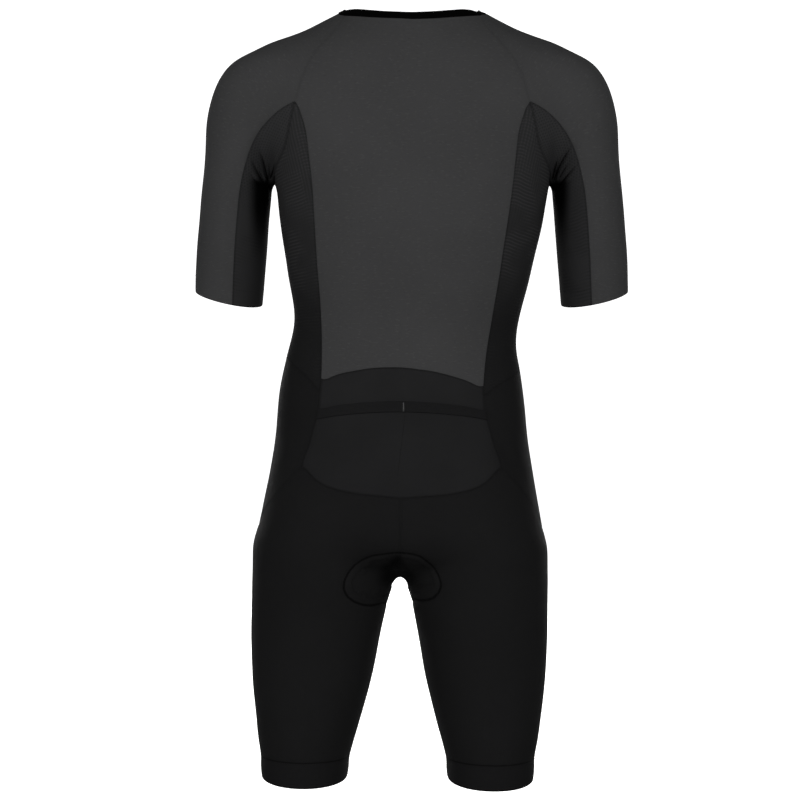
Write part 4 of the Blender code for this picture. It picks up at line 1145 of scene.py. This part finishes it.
def add_creases(skin, share):
    """Troughs with raised lips, which run out from the armpits."""
    x, y, z = skin.points.T
    move = np.zeros(len(x))
    high, out, wide = CREASE_LIP
    for x0, z0, x1, z1, bow, width, depth, face in CREASES:
        run = np.array([x1 - x0, z1 - z0])
        start = np.stack([x - x0, z - z0])
        along = run @ start / (run @ run)
        aside = (run[0] * start[1] - run[1] * start[0]) / math.hypot(*run)
        away = abs(aside - along * (1 - along) * 4 * bow) / width
        ends = smoothstep(along, *CREASE_ENDS[0]) * smoothstep(1 - along, *CREASE_ENDS[1])
        fade = smoothstep(face * (y - CREASE_MIDDLE), 0, CREASE_FADE) * ends
        lip = high * np.exp(-((away - out) / wide) ** 2)
        move -= share * depth * fade * (np.exp(-away**2) - lip)
    skin.points += move[:, None] * skin.normals()


def pad_outline():
    """The sewn line round the pad as a closed, rounded path."""
    points = resampled(np.array(PAD_LINE), PAD_STEP)
    for _ in range(PAD_ROUNDS):
        ring = points[:-1]
        points[:-1] = (np.roll(ring, 1, 0) + 2 * ring + np.roll(ring, -1, 0)) / 4
        points[-1] = points[0]
    return points


def seat_pad_edge():
    """Points on the pad's edge, where its walls are thinnest."""
    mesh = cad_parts["seat_pad"].data
    points = points_of(mesh)
    sides = sides_of(read(mesh.loops, "vertex_index", np.int32, 1).reshape(-1, 3))
    length = np.linalg.norm(points[sides[:, 0]] - points[sides[:, 1]], axis=1)
    return points[sides[length < PAD_EDGE]].mean(1)


def add_pad_print(skin, cloth):
    """The pad's rise under the cloth and the sewn groove round it."""
    pad = tree_of("seat_pad")
    line = on_tree(skin.surface(), pad_outline())[0]
    ahead = unit(np.gradient(line, axis=0))
    away = distances(skin.points, line, PAD_REACH)
    out = skin.normals()
    inside = np.zeros(len(away), bool)
    search = tree_of_points(line)
    for k in np.flatnonzero(away < PAD_REACH):
        if away[k] < PAD_REACH / 2:
            spot = search.find(skin.points[k])[1]
            inside[k] = np.cross(out[k], ahead[spot]) @ (skin.points[k] - line[spot]) > 0
        else:
            inside[k] = pad.find_nearest(skin.points[k])[3] < PAD_UNDER
    skin.fields["pad"] = np.where(inside, -away, away)
    rise = cloth.pad_rise * smoothstep(away, PAD_START, PAD_REACH) * inside
    groove = cloth.pad_groove * np.exp(-((away / PAD_SEAM) ** 2))
    skin.points += (rise - groove)[:, None] * out


def add_seat_creases(skin, share):
    """Soft folds where the seat meets the legs, and their painted shade, kept as the crease field."""
    x, y, z = skin.points.T
    move = np.zeros(len(x))
    dark = np.zeros(len(x))
    for x0, z0, x1, z1, width, depth, shade in SEAT_CREASES:
        run = np.array([x1 - x0, z1 - z0])
        start = np.stack([x - x0, z - z0])
        along = np.clip(run @ start / (run @ run), 0, 1)
        away = np.hypot(*(start - run[:, None] * along)) / width
        trough = smoothstep(y, 0.0, SEAT_BACK) * (1 - along) ** SEAT_TAPER * np.exp(-away**2)
        move -= share * depth * trough
        dark = np.maximum(dark, trough * shade)
    # the crease field holds the painted shade of these folds
    skin.fields["crease"] = np.minimum(dark, 1.0)
    skin.points += move[:, None] * skin.normals()


def add_ripples(skin, height):
    """Slow, shallow ripples, as a knit has on a soft form; their rates are in radians a metre."""
    x, y, z = skin.points.T
    ripples = (np.sin(x * 61 + 1.3 * np.sin(z * 37)) * np.sin(z * 43 + y * 29 + 0.7)
               + 0.6 * np.sin(x * 97 - z * 71 + 2.1) * np.sin(y * 83 + z * 23))
    skin.points += (height * 0.5 * ripples)[:, None] * skin.normals()


@functools.lru_cache(maxsize=1)
def the_skin():
    """The skin, made on its first use."""
    cloth = bpy.context.scene.suit_cloth
    piece = smoothed(welded_panels(), cloth.detail)
    skin = Skin(piece)
    bpy.data.objects.remove(piece, do_unlink=True)
    skin.fields["seam"] = distances(skin.points, skin.points[np.unique(skin.seams)], SEAM_REACH)
    add_ripples(skin, cloth.unevenness)
    add_creases(skin, cloth.crease)
    add_seat_creases(skin, cloth.crease)
    add_pad_print(skin, cloth)
    drawn = cloth.seam_depth * np.exp(-((skin.fields["seam"] / SEAM_WIDTH) ** 2))
    skin.points -= drawn[:, None] * skin.normals()
    skin.out = skin.normals()
    skin.tree = skin.surface()
    return skin


def panel_shell(skin, name, faces, lift=0.0, thickness=None):
    """A thin shell on some of the skin's faces, with its flat map and its distances as attributes."""
    if not faces.any():
        raise RuntimeError(name + " has no faces on the skin")
    thickness = thickness or bpy.context.scene.suit_cloth.thickness
    used, quads = np.unique(skin.quads[faces], return_inverse=True)
    quads = quads.reshape(-1, 4)
    outer = (skin.points + np.reshape(lift, (-1, 1)) * skin.out)[used]
    inner = outer - thickness * skin.out[used]
    sides = sides_of(quads)
    _, first, uses = np.unique(np.sort(sides, axis=1), axis=0, return_index=True, return_counts=True)
    first = first[uses == 1]
    rim = sides[first]
    count = len(used)
    walls = np.stack([rim[:, 1], rim[:, 0], rim[:, 0] + count, rim[:, 1] + count], axis=1)
    piece = smooth_mesh(
        name, np.concatenate([outer, inner]), np.concatenate([quads, quads[:, ::-1] + count, walls]))
    flat = skin.flat[faces]
    corner, owner = np.divmod(first, len(quads))
    start, end = flat[owner, corner], flat[owner, (corner + 1) % 4]
    layer = piece.data.uv_layers.new(name="cut")
    layer.uv.foreach_set(
        "vector", np.concatenate([flat, flat[:, ::-1], np.stack([end, start, start, end], axis=1)])
        .astype(np.float32).ravel())
    for field, values in skin.fields.items():
        stored = piece.data.attributes.new(field, "FLOAT", "POINT")
        stored.data.foreach_set("value", np.tile(values[used], 2).astype(np.float32))
    rims = {tuple(pair) for pair in np.sort(np.concatenate([rim, rim + count]), axis=1).tolist()}
    edges = np.sort(read(piece.data.edges, "vertices", np.int32, 2), axis=1).tolist()
    sharp = piece.data.attributes.new("sharp_edge", "BOOLEAN", "EDGE")
    sharp.data.foreach_set("value", np.array([tuple(edge) in rims for edge in edges]))
    return piece


def add_panels(finishes):
    """The panels of some finishes, each as a shell of its own that stands for its CAD node."""
    skin = the_skin()
    for number, (node, finish, _, width, length, area) in enumerate(PANELS):
        if finish not in finishes:
            continue
        piece = panel_shell(skin, node + "_cloth", skin.panel == number)
        put_on(piece, finishes[finish], SLOTS.get(finish, finish), stands_for=[node])


class SUIT_OT_grey_panels(bpy.types.Operator):
    """Back, fronts and sleeves in grey knit"""
    bl_idname = "suit.grey_panels"
    bl_label = "Grey panels"

    def execute(self, context):
        add_panels({"grey_knit": grey_knit(context.scene.suit_colours)})
        return {"FINISHED"}


class SUIT_OT_mesh_panels(bpy.types.Operator):
    """Side and underarm panels in black mesh"""
    bl_idname = "suit.mesh_panels"
    bl_label = "Mesh panels"

    def execute(self, context):
        colours = context.scene.suit_colours
        add_panels({"ribbed_mesh": ribbed_mesh(colours), "dimple_mesh": dimple_mesh(colours)})
        return {"FINISHED"}


class SUIT_OT_black_panels(bpy.types.Operator):
    """Lumbar panel, front waist, hips, legs and their gripper bands"""
    bl_idname = "suit.black_panels"
    bl_label = "Black panels"

    def execute(self, context):
        colours = context.scene.suit_colours
        add_panels({
            "lumbar_mesh": close_mesh("lumbar_mesh", colours.lumbar_mesh),
            "black_lycra": lycra("black_lycra", colours.black_lycra),
            "gripper_band": gripper_band(colours),
        })
        return {"FINISHED"}


# Pocket

def add_overlay(node, finish, lift, thickness=None):
    """A layer that lies on the lumbar panel, where a CAD node says."""
    skin = the_skin()
    piece = panel_shell(skin, node + "_cloth", skin.over == OVERLAYS.index(node) + 1, lift, thickness)
    put_on(piece, finish, "black_lycra", stands_for=[node])
    return piece


def seen_from_back(skin, across, heights):
    """Points on the cloth's back, at places out from the middle and heights."""
    starts = np.broadcast_arrays(across, BEHIND, heights)
    return np.array([skin.tree.ray_cast(start, (0, -1, 0))[0] for start in np.stack(starts, axis=1)])


def pocket_path(skin):
    """The sewn line down the pocket's middle."""
    across, heights = np.linspace(*POCKET_MIDDLE, POCKET_POINTS).T
    return seen_from_back(skin, across, heights)


def tack_points(skin):
    """A close zigzag over the pocket's band."""
    x, top, foot, half = BARTACK
    count = round((top - foot) / TACK_PITCH)
    return seen_from_back(skin, x + half * (np.arange(count) % 2 * 2 - 1), np.linspace(top, foot, count))


class SUIT_OT_pocket(bpy.types.Operator):
    """Back pocket with its turned band"""
    bl_idname = "suit.pocket"
    bl_label = "Pocket"

    def execute(self, context):
        cloth, colours = context.scene.suit_cloth, context.scene.suit_colours
        skin = the_skin()
        free = smoothstep(skin.fields["seam"], *POCKET_FREE)
        lift = POCKET_SEWN + (cloth.pocket_lift - POCKET_SEWN) * free
        pin_holed = close_mesh("pocket_mesh", colours.pocket)
        add_overlay("back_pocket", pin_holed, lift)
        foot = POCKET_MIDDLE[0][1]
        lift = cloth.band_lift + BAND_FLARE * smoothstep(skin.points[:, 2], foot, foot + BAND_HEIGHT)
        elastic = lycra("band_lycra", colours.band)
        band = add_overlay(
            "pocket_band", elastic, lift, cloth.band_thickness)
        round_edges(band, BAND_EDGE, 3, TAPE_TURN)
        return {"FINISHED"}


# Stitching

def seam_runs(skin):
    """Paths along the seams, each with the numbers of the panels on its two sides."""
    pairs = np.sort(sides_of(skin.quads), axis=1)
    edges, where = np.unique(pairs, axis=0, return_inverse=True)
    beside = np.tile(skin.panel, 4)
    low = np.full(len(edges), len(PANELS))
    high = np.full(len(edges), -1)
    np.minimum.at(low, where.ravel(), beside)
    np.maximum.at(high, where.ravel(), beside)
    key = {tuple(edge): k for k, edge in enumerate(edges.tolist())}
    marked = np.array([key[tuple(edge)] for edge in np.sort(skin.seams, axis=1).tolist()])
    rims = {tuple(edge) for edge in skin.rims.tolist()}
    marked = np.array([k for k in marked if tuple(edges[k].tolist()) not in rims])
    for sides in sorted({(low[k], high[k]) for k in marked}):
        chosen = marked[(low[marked] == sides[0]) & (high[marked] == sides[1])]
        for run in chains(edges[chosen]):
            yield sides, skin.points[run]


def is_grey(number):
    return PANELS[number][1] == "grey_knit"


def sew_seams(skin, sewing, thread):
    """A row on each side of a seam, but none on the grey side of a black one."""
    for sides, path in seam_runs(skin):
        if len(path) < (SLIT_POINTS if sides[0] == sides[1] else SEAM_POINTS):
            continue
        mixed = is_grey(sides[0]) != is_grey(sides[1])
        middle = path[len(path) // 2]
        ahead = unit(path[len(path) // 2 + 1] - middle)
        out = np.array(skin.tree.find_nearest(middle)[1])
        for aside in (thread.row, -thread.row):
            spot = middle + 2 * aside * unit(np.cross(out, ahead))
            grey = is_grey(skin.panel[skin.tree.find_nearest(spot)[2]])
            if not (mixed and grey):
                sewing.row("grey" if grey else "black", path, aside)


def cuff_paths(skin, height):
    """Paths round the sleeves, a little above the cuffs."""
    for run in chains(skin.rims):
        path = skin.points[run]
        if path[0][2] > CUFF_TOP or path[0][2] < CUFF_FOOT:
            continue
        up = unit(np.array(CUFF_UP) * (np.sign(path[0][0]), 1, 1))
        yield on_tree(skin.tree, path + height * up)[0]


class SUIT_OT_stitches(bpy.types.Operator):
    """Flatlock rows at the seams, and the rows of the hems, the pad and the pocket"""
    bl_idname = "suit.stitches"
    bl_label = "Stitches"

    def execute(self, context):
        thread, cloth = context.scene.suit_thread, context.scene.suit_cloth
        colours = context.scene.suit_colours
        skin = the_skin()
        sewing = Sewing(skin.tree, thread)
        sew_seams(skin, sewing, thread)
        sewing.row("black", pad_outline())
        for path in cuff_paths(skin, cloth.cuff_hem):
            panels = skin.panel[on_tree(skin.tree, path)[2]]
            for part in np.split(np.arange(len(path)), np.flatnonzero(np.diff(panels)) + 1):
                if len(part) > 2:
                    sewing.row("grey" if is_grey(panels[part[0]]) else "black", path[part])
        foot = resampled(np.insert(np.array(BAND_FOOT), 1, 0, axis=1), BAND_STEP)
        foot = seen_from_back(skin, foot[:, 0], foot[:, 2])
        sewing.row("black", foot, lift=cloth.pocket_lift + BAND_THREAD)
        sewing.row("black", pocket_path(skin), lift=cloth.pocket_lift)
        sewing.threads("tack", tack_points(skin), cloth.band_lift + BAND_FLARE)
        threads = (
            ("black", colours.black_thread, "black_lycra"),
            ("grey", colours.grey_thread, "grey_knit"),
            ("tack", colours.tack_thread, "black_lycra"),
        )
        for kind, colour, slot in threads:
            put_on(sewing.made(kind), stitch_thread(kind + "_thread", colour), slot)
        return {"FINISHED"}


# Binding and pad

def node_copy(node, name):
    """A CAD node's shape as an object of merged quads."""
    shape = merged_shape(node)
    join_quads(shape, QUAD_TURN)
    return as_object(shape, name)


def swell(piece, distance):
    """Moves the binding's faces outwards, and shapes its upper edge."""
    mesh = piece.data
    normals = read(mesh.vertex_normals, "vector", np.float32, 3)
    points = read(mesh.vertices, "co", np.float32, 3) + distance * normals
    rise = np.interp(points[:, 0], *np.array(BINDING_TOP).T) * smoothstep(normals[:, 2], *BINDING_UPPER)
    points[:, 2] += rise + BINDING_DROP * np.minimum(normals[:, 2], 0)
    set_points(mesh, points)


class SUIT_OT_binding(bpy.types.Operator):
    """Folded binding round the neck"""
    bl_idname = "suit.binding"
    bl_label = "Neck binding"

    def execute(self, context):
        trim, colours = context.scene.suit_trim, context.scene.suit_colours
        piece = node_copy("neck_binding", "neck_binding_cloth")
        round_edges(piece, trim.binding_edge, 2, TAPE_TURN)
        swell(smoothed(piece, 2), trim.binding_swell)
        put_on(piece, binding_cloth(colours), "binding", stands_for=["neck_binding"])
        return {"FINISHED"}


class SUIT_OT_pad(bpy.types.Operator):
    """Soft pad inside the seat, with channels"""
    bl_idname = "suit.pad"
    bl_label = "Seat pad"

    def execute(self, context):
        trim, colours = context.scene.suit_trim, context.scene.suit_colours
        piece = smoothed(node_copy("seat_pad", "seat_pad_foam"), 2)
        mesh = piece.data
        points = points_of(mesh)
        normals = read(mesh.vertex_normals, "vector", np.float32, 3)
        inner = ((points - np.array(PAD_HUB)) * normals).sum(1) < 0
        edge = distances(points, seat_pad_edge(), CHANNEL_REACH)
        aside = abs(points[:, 0] - PAD_HUB[0])
        rim = np.exp(-(((edge - CHANNEL_IN) / trim.channel_width) ** 2))
        long = np.exp(-(((aside - CHANNEL_ASIDE) / trim.channel_width) ** 2)) * (edge > CHANNEL_IN)
        points -= (inner * np.maximum(rim, long) * trim.channel_depth)[:, None] * normals
        reached, facing, _ = on_tree(the_skin().tree, points)
        proud = ((points - reached) * facing).sum(1) + PAD_CLEAR
        points -= np.clip(proud, 0, PAD_PUSH)[:, None] * facing
        set_points(mesh, points)
        put_on(piece, pad_cloth(colours), "pad_foam", stands_for=["seat_pad"])
        return {"FINISHED"}


# Zip

def corners_of(node):
    """The corners of a CAD node, each once."""
    return np.unique(np.round(points_of(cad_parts[node].data), 5), axis=0)


def chain_line():
    """Points down the middle of the zip's chain on its front face, from the top."""
    points = corners_of("zip_chain")
    rows = points[np.argsort(-points[:, 2])].reshape(-1, 4, 3)
    front = np.stack([row[np.argsort(row[:, 1])[:2]].mean(0) for row in rows])
    return resampled(front, CHAIN_STEP)


def block(name, size, place=(0, 0, 0)):
    """A block of a size about a place."""
    deselect()
    bpy.ops.mesh.primitive_cube_add(size=1, location=place)
    piece = bpy.context.active_object
    piece.name = name
    piece.scale = size
    bpy.ops.object.transform_apply(location=True, rotation=False, scale=True)
    return piece


def edit_part(piece, chosen, kind, work):
    """Works on the edges or faces of a piece that a test chooses."""
    only(piece)
    bpy.ops.object.mode_set(mode="EDIT")
    bpy.ops.mesh.select_all(action="DESELECT")
    bpy.ops.mesh.select_mode(type=kind)
    shape = bmesh.from_edit_mesh(piece.data)
    for part in (shape.edges if kind == "EDGE" else shape.faces):
        if chosen(part):
            part.select_set(True)
    bmesh.update_edit_mesh(piece.data)
    work()
    bpy.ops.object.mode_set(mode="OBJECT")


def joined(pieces, name, turn, place):
    """Pieces as one object, turned and moved from the slider's own place onto the zip."""
    deselect()
    for piece in pieces:
        piece.select_set(True)
    bpy.context.view_layer.objects.active = pieces[0]
    bpy.ops.object.join()
    made = bpy.context.active_object
    made.name = name
    made.matrix_world = Matrix.Translation(place) @ Matrix(turn).to_4x4()
    bpy.ops.object.transform_apply(location=True, rotation=True, scale=True)
    bpy.ops.object.shade_smooth_by_angle(angle=math.radians(35))
    return made


def slider_pieces(trim):
    """The slider's plate, narrower at its foot, and its two lugs; its base's middle is the origin."""
    width, base, length = trim.slider_width, trim.slider_base, trim.slider_length
    plate = block("plate", (width, base, length), (0, -base / 2, 0))
    foot = (0, 0, -length / 2)
    edit_part(
        plate, lambda face: face.normal.z < -0.9, "FACE",
        lambda: bpy.ops.transform.resize(value=(PLATE_FOOT, 1, 1), center_override=foot))
    round_edges(plate, PLATE_EDGE, 3)
    pieces = [plate]
    wide = (width - trim.pull_width) / 2 - LUG_GAP
    for side in (-1, 1):
        middle = (side * (width - wide) / 2, -base - trim.slider_lugs / 2 + LUG_SUNK, LUG_UP)
        lug = block("lug", (wide, trim.slider_lugs, LUG_LENGTH), middle)
        round_edges(lug, LUG_EDGE, 3)
        pieces.append(lug)
    return pieces


def is_lower_corner(edge):
    """Whether an edge of the tab goes through it at its lower end."""
    one, other = (vertex.co for vertex in edge.verts)
    return max(one.z, other.z) < TAB_LOW and abs(one.y - other.y) > TAB_THROUGH


def pull_pieces(trim):
    """The pull's barrel and its flat tab with a sunk panel; it hangs from the barrel."""
    out = -(trim.slider_base + trim.pull_barrel + LUG_GAP)
    length = trim.pull_length - TAB_START
    tab = block("tab", (trim.pull_width, trim.pull_plate, length), (0, out, -TAB_START - length / 2))
    edit_part(
        tab, is_lower_corner, "EDGE",
        lambda: bpy.ops.mesh.bevel(offset=TAB_CORNER, segments=6, affect="EDGES"))
    for side in (-1, 1):
        edit_part(
            tab, lambda face, side=side: face.normal.y * side > 0.9, "FACE",
            lambda: bpy.ops.mesh.inset(thickness=TAB_FRAME, depth=-TAB_SUNK))
    round_edges(tab, TAB_EDGE, 2, 40)
    deselect()
    bpy.ops.mesh.primitive_cylinder_add(
        vertices=32, radius=trim.pull_barrel, depth=trim.pull_width, location=(0, out, 0),
        rotation=(0, math.pi / 2, 0))
    barrel = bpy.context.active_object
    bpy.ops.object.transform_apply(location=True, rotation=True, scale=True)
    return [tab, barrel]


def repeated(piece, places, name):
    """One mesh of a piece set at many places, each a turn and a point."""
    points = points_of(piece.data)
    corners = read(piece.data.loops, "vertex_index", np.int32, 1)
    sizes = read(piece.data.polygons, "loop_total", np.int32, 1)
    spots = np.concatenate([points @ np.array(turn).T + place for turn, place in places])
    shifts = np.arange(len(places))[:, None] * len(points)
    bpy.data.objects.remove(piece, do_unlink=True)
    return smooth_mesh(name, spots, corners + shifts, np.tile(sizes, len(places)))


def turns_along(line):
    """For each point of a line that runs down, the directions across, inwards and up, as columns."""
    up = unit(-np.gradient(line, axis=0))
    across = np.tile([1.0, 0.0, 0.0], (len(line), 1))
    across = unit(across - (across * up).sum(1, keepdims=True) * up)
    return np.stack([across, np.cross(up, across), up], axis=2)


class SUIT_OT_zip(bpy.types.Operator):
    """Zip tapes and the two rows of closed teeth"""
    bl_idname = "suit.zip"
    bl_label = "Zip"

    def execute(self, context):
        trim, colours = context.scene.suit_trim, context.scene.suit_colours
        plastic = moulded_plastic(colours)
        tape = tape_cloth(colours)
        for node in ("zip_tape_left", "zip_tape_right"):
            piece = smoothed(node_copy(node, node + "_cloth"), 1)
            put_on(piece, tape, "zip_moulded", stands_for=[node])
        line = chain_line()
        turns = turns_along(line)
        tooth = block("tooth", (trim.tooth_width, trim.tooth_depth, trim.tooth_height))
        round_edges(tooth, TOOTH_EDGE, 2)
        step = trim.tooth_pitch / 2 / CHAIN_STEP
        places = []
        for k, at in enumerate(np.arange(CHAIN_ENDS, len(line) - CHAIN_ENDS, step).astype(int)):
            across, inwards, _ = turns[at].T
            side = 1 if k % 2 else -1
            middle = line[at] + inwards * trim.tooth_depth * TOOTH_SUNK
            places.append((turns[at], middle + side * (trim.tooth_width / 2 - TOOTH_OVERLAP) * across))
        put_on(repeated(tooth, places, "zip_teeth"), plastic, "zip_moulded", stands_for=["zip_chain"])
        return {"FINISHED"}


class SUIT_OT_slider(bpy.types.Operator):
    """Slider at the top of the zip, with its pull tab"""
    bl_idname = "suit.slider"
    bl_label = "Slider and pull"

    def execute(self, context):
        trim = context.scene.suit_trim
        plastic = bpy.data.materials["zip_moulded"]
        line = chain_line()
        corners = corners_of("zip_slider")
        middle = corners.mean(0)
        turn = turns_along(line)[int(np.argmin(np.linalg.norm(line - middle, axis=1)))]
        inwards = turn[:, 1]
        base = middle + (max(corners @ inwards) - middle @ inwards) * inwards
        slider = joined(slider_pieces(trim), "zip_slider_moulded", turn, base)
        put_on(slider, plastic, "zip_moulded", stands_for=["zip_slider"])
        pull = joined(pull_pieces(trim), "zip_pull_moulded", turn, base)
        put_on(pull, plastic, "zip_moulded", body="pull_tab", stands_for=["zip_pull"])
        return {"FINISHED"}


# Stage

def paper():
    """Pale seamless paper."""
    finish = Finish("paper", roughness=0.9, specular=0.1)
    grain = finish.noise(finish.on_suit(), 30.0, 3.0)
    base = finish.mix(grain, (0.93, 0.93, 0.93), (0.96, 0.96, 0.96))
    return finish.set(base_color=base, emission_color=(1.0, 1.0, 1.0), emission_strength=PAPER_GLOW)


def add_camera(stage):
    """A camera behind the suit that looks at its back."""
    lens = bpy.data.cameras.new("camera")
    lens.lens = lens.sensor_width * stage.distance / stage.width
    camera = bpy.data.objects.new("camera", lens)
    camera.location = (stage.aside, stage.distance, stage.height)
    camera.rotation_euler = (math.pi / 2, 0, math.pi)
    bpy.context.scene.collection.objects.link(camera)
    bpy.context.scene.camera = camera


def add_world(brightness):
    """White surroundings."""
    world = bpy.data.worlds.new("surroundings")
    world.use_nodes = True
    background = world.node_tree.nodes["Background"]
    background.inputs["Color"].default_value = (1.0, 1.0, 1.0, 1.0)
    background.inputs["Strength"].default_value = brightness
    bpy.context.scene.world = world


def add_light(name, place, size, power, target):
    """A soft square light that faces a target."""
    lamp = bpy.data.lights.new(name, "AREA")
    lamp.size = size
    lamp.energy = power
    made = bpy.data.objects.new(name, lamp)
    made.location = place
    made.rotation_euler = (Vector(target) - Vector(place)).to_track_quat("-Z", "Y").to_euler()
    bpy.context.scene.collection.objects.link(made)


def add_floor(height):
    """A round floor that bends up into a wall, unseen by the light that the suit gets."""
    profile = [(FLOOR_MIDDLE, height)]
    for turn in np.linspace(0, math.pi / 2, FLOOR_STEPS):
        out = FLOOR_REACH - FLOOR_BEND + FLOOR_BEND * math.sin(turn)
        profile.append((out, height + FLOOR_BEND * (1 - math.cos(turn))))
    profile.append((FLOOR_REACH, WALL_TOP))
    count = FLOOR_SIDES
    around = np.arange(count) * math.tau / count
    points = [(out * math.cos(turn), out * math.sin(turn), z) for out, z in profile for turn in around]
    faces = [
        (k * count + n, k * count + (n + 1) % count, (k + 1) * count + (n + 1) % count, (k + 1) * count + n)
        for k in range(len(profile) - 1)
        for n in range(count)
    ]
    faces.append(tuple(reversed(range(count))))
    sheet = bpy.data.meshes.new("floor")
    sheet.from_pydata(points, [], faces)
    sheet.flip_normals()
    sheet.materials.append(paper())
    floor = linked("floor", sheet)
    only(floor)
    bpy.ops.object.shade_smooth()
    floor.visible_diffuse = False
    floor.visible_glossy = False
    return floor


class SUIT_OT_stage(bpy.types.Operator):
    """Camera, soft lights, white surroundings and a pale round floor with a curved wall"""
    bl_idname = "suit.stage"
    bl_label = "Stage"

    def execute(self, context):
        stage = context.scene.suit_stage
        add_camera(stage)
        context.scene.view_settings.view_transform = "Standard"
        add_world(stage.world)
        for name, place, size, power in LIGHTS:
            add_light(name, place, size, getattr(stage, power), (0.0, 0.0, stage.height))
        floor = add_floor(stage.floor)
        return {"FINISHED"}


class SUIT_PT_panel(bpy.types.Panel):
    """The suit's pieces"""
    bl_idname = "SUIT_PT_panel"
    bl_label = "Triathlon suit"
    bl_space_type = "VIEW_3D"
    bl_region_type = "UI"
    bl_category = "Suit"

    def draw(self, context):
        for group in GROUPS:
            values = getattr(context.scene, group)
            for name in values.__annotations__:
                self.layout.prop(values, name)
        for operator in OPERATORS:
            self.layout.operator(operator.bl_idname)


GROUPS = {
    "suit_cloth": SuitCloth,
    "suit_thread": SuitThread,
    "suit_trim": SuitTrim,
    "suit_colours": SuitColours,
    "suit_stage": SuitStage,
}
OPERATORS = (
    SUIT_OT_grey_panels,
    SUIT_OT_mesh_panels,
    SUIT_OT_black_panels,
    SUIT_OT_pocket,
    SUIT_OT_stitches,
    SUIT_OT_binding,
    SUIT_OT_pad,
    SUIT_OT_zip,
    SUIT_OT_slider,
    SUIT_OT_stage,
)


def register():
    for kind in (*GROUPS.values(), *OPERATORS, SUIT_PT_panel):
        bpy.utils.register_class(kind)
    for name, kind in GROUPS.items():
        setattr(bpy.types.Scene, name, PointerProperty(type=kind))


def unregister():
    for name in GROUPS:
        delattr(bpy.types.Scene, name)
    for kind in reversed((*GROUPS.values(), *OPERATORS, SUIT_PT_panel)):
        bpy.utils.unregister_class(kind)


def main():
    """Makes every piece."""
    register()
    deselect()
    bpy.ops.suit.grey_panels()
    bpy.ops.suit.mesh_panels()
    bpy.ops.suit.black_panels()
    bpy.ops.suit.pocket()
    bpy.ops.suit.stitches()
    bpy.ops.suit.binding()
    bpy.ops.suit.pad()
    bpy.ops.suit.zip()
    bpy.ops.suit.slider()
    bpy.ops.suit.stage()


if __name__ == "__main__":
    main()
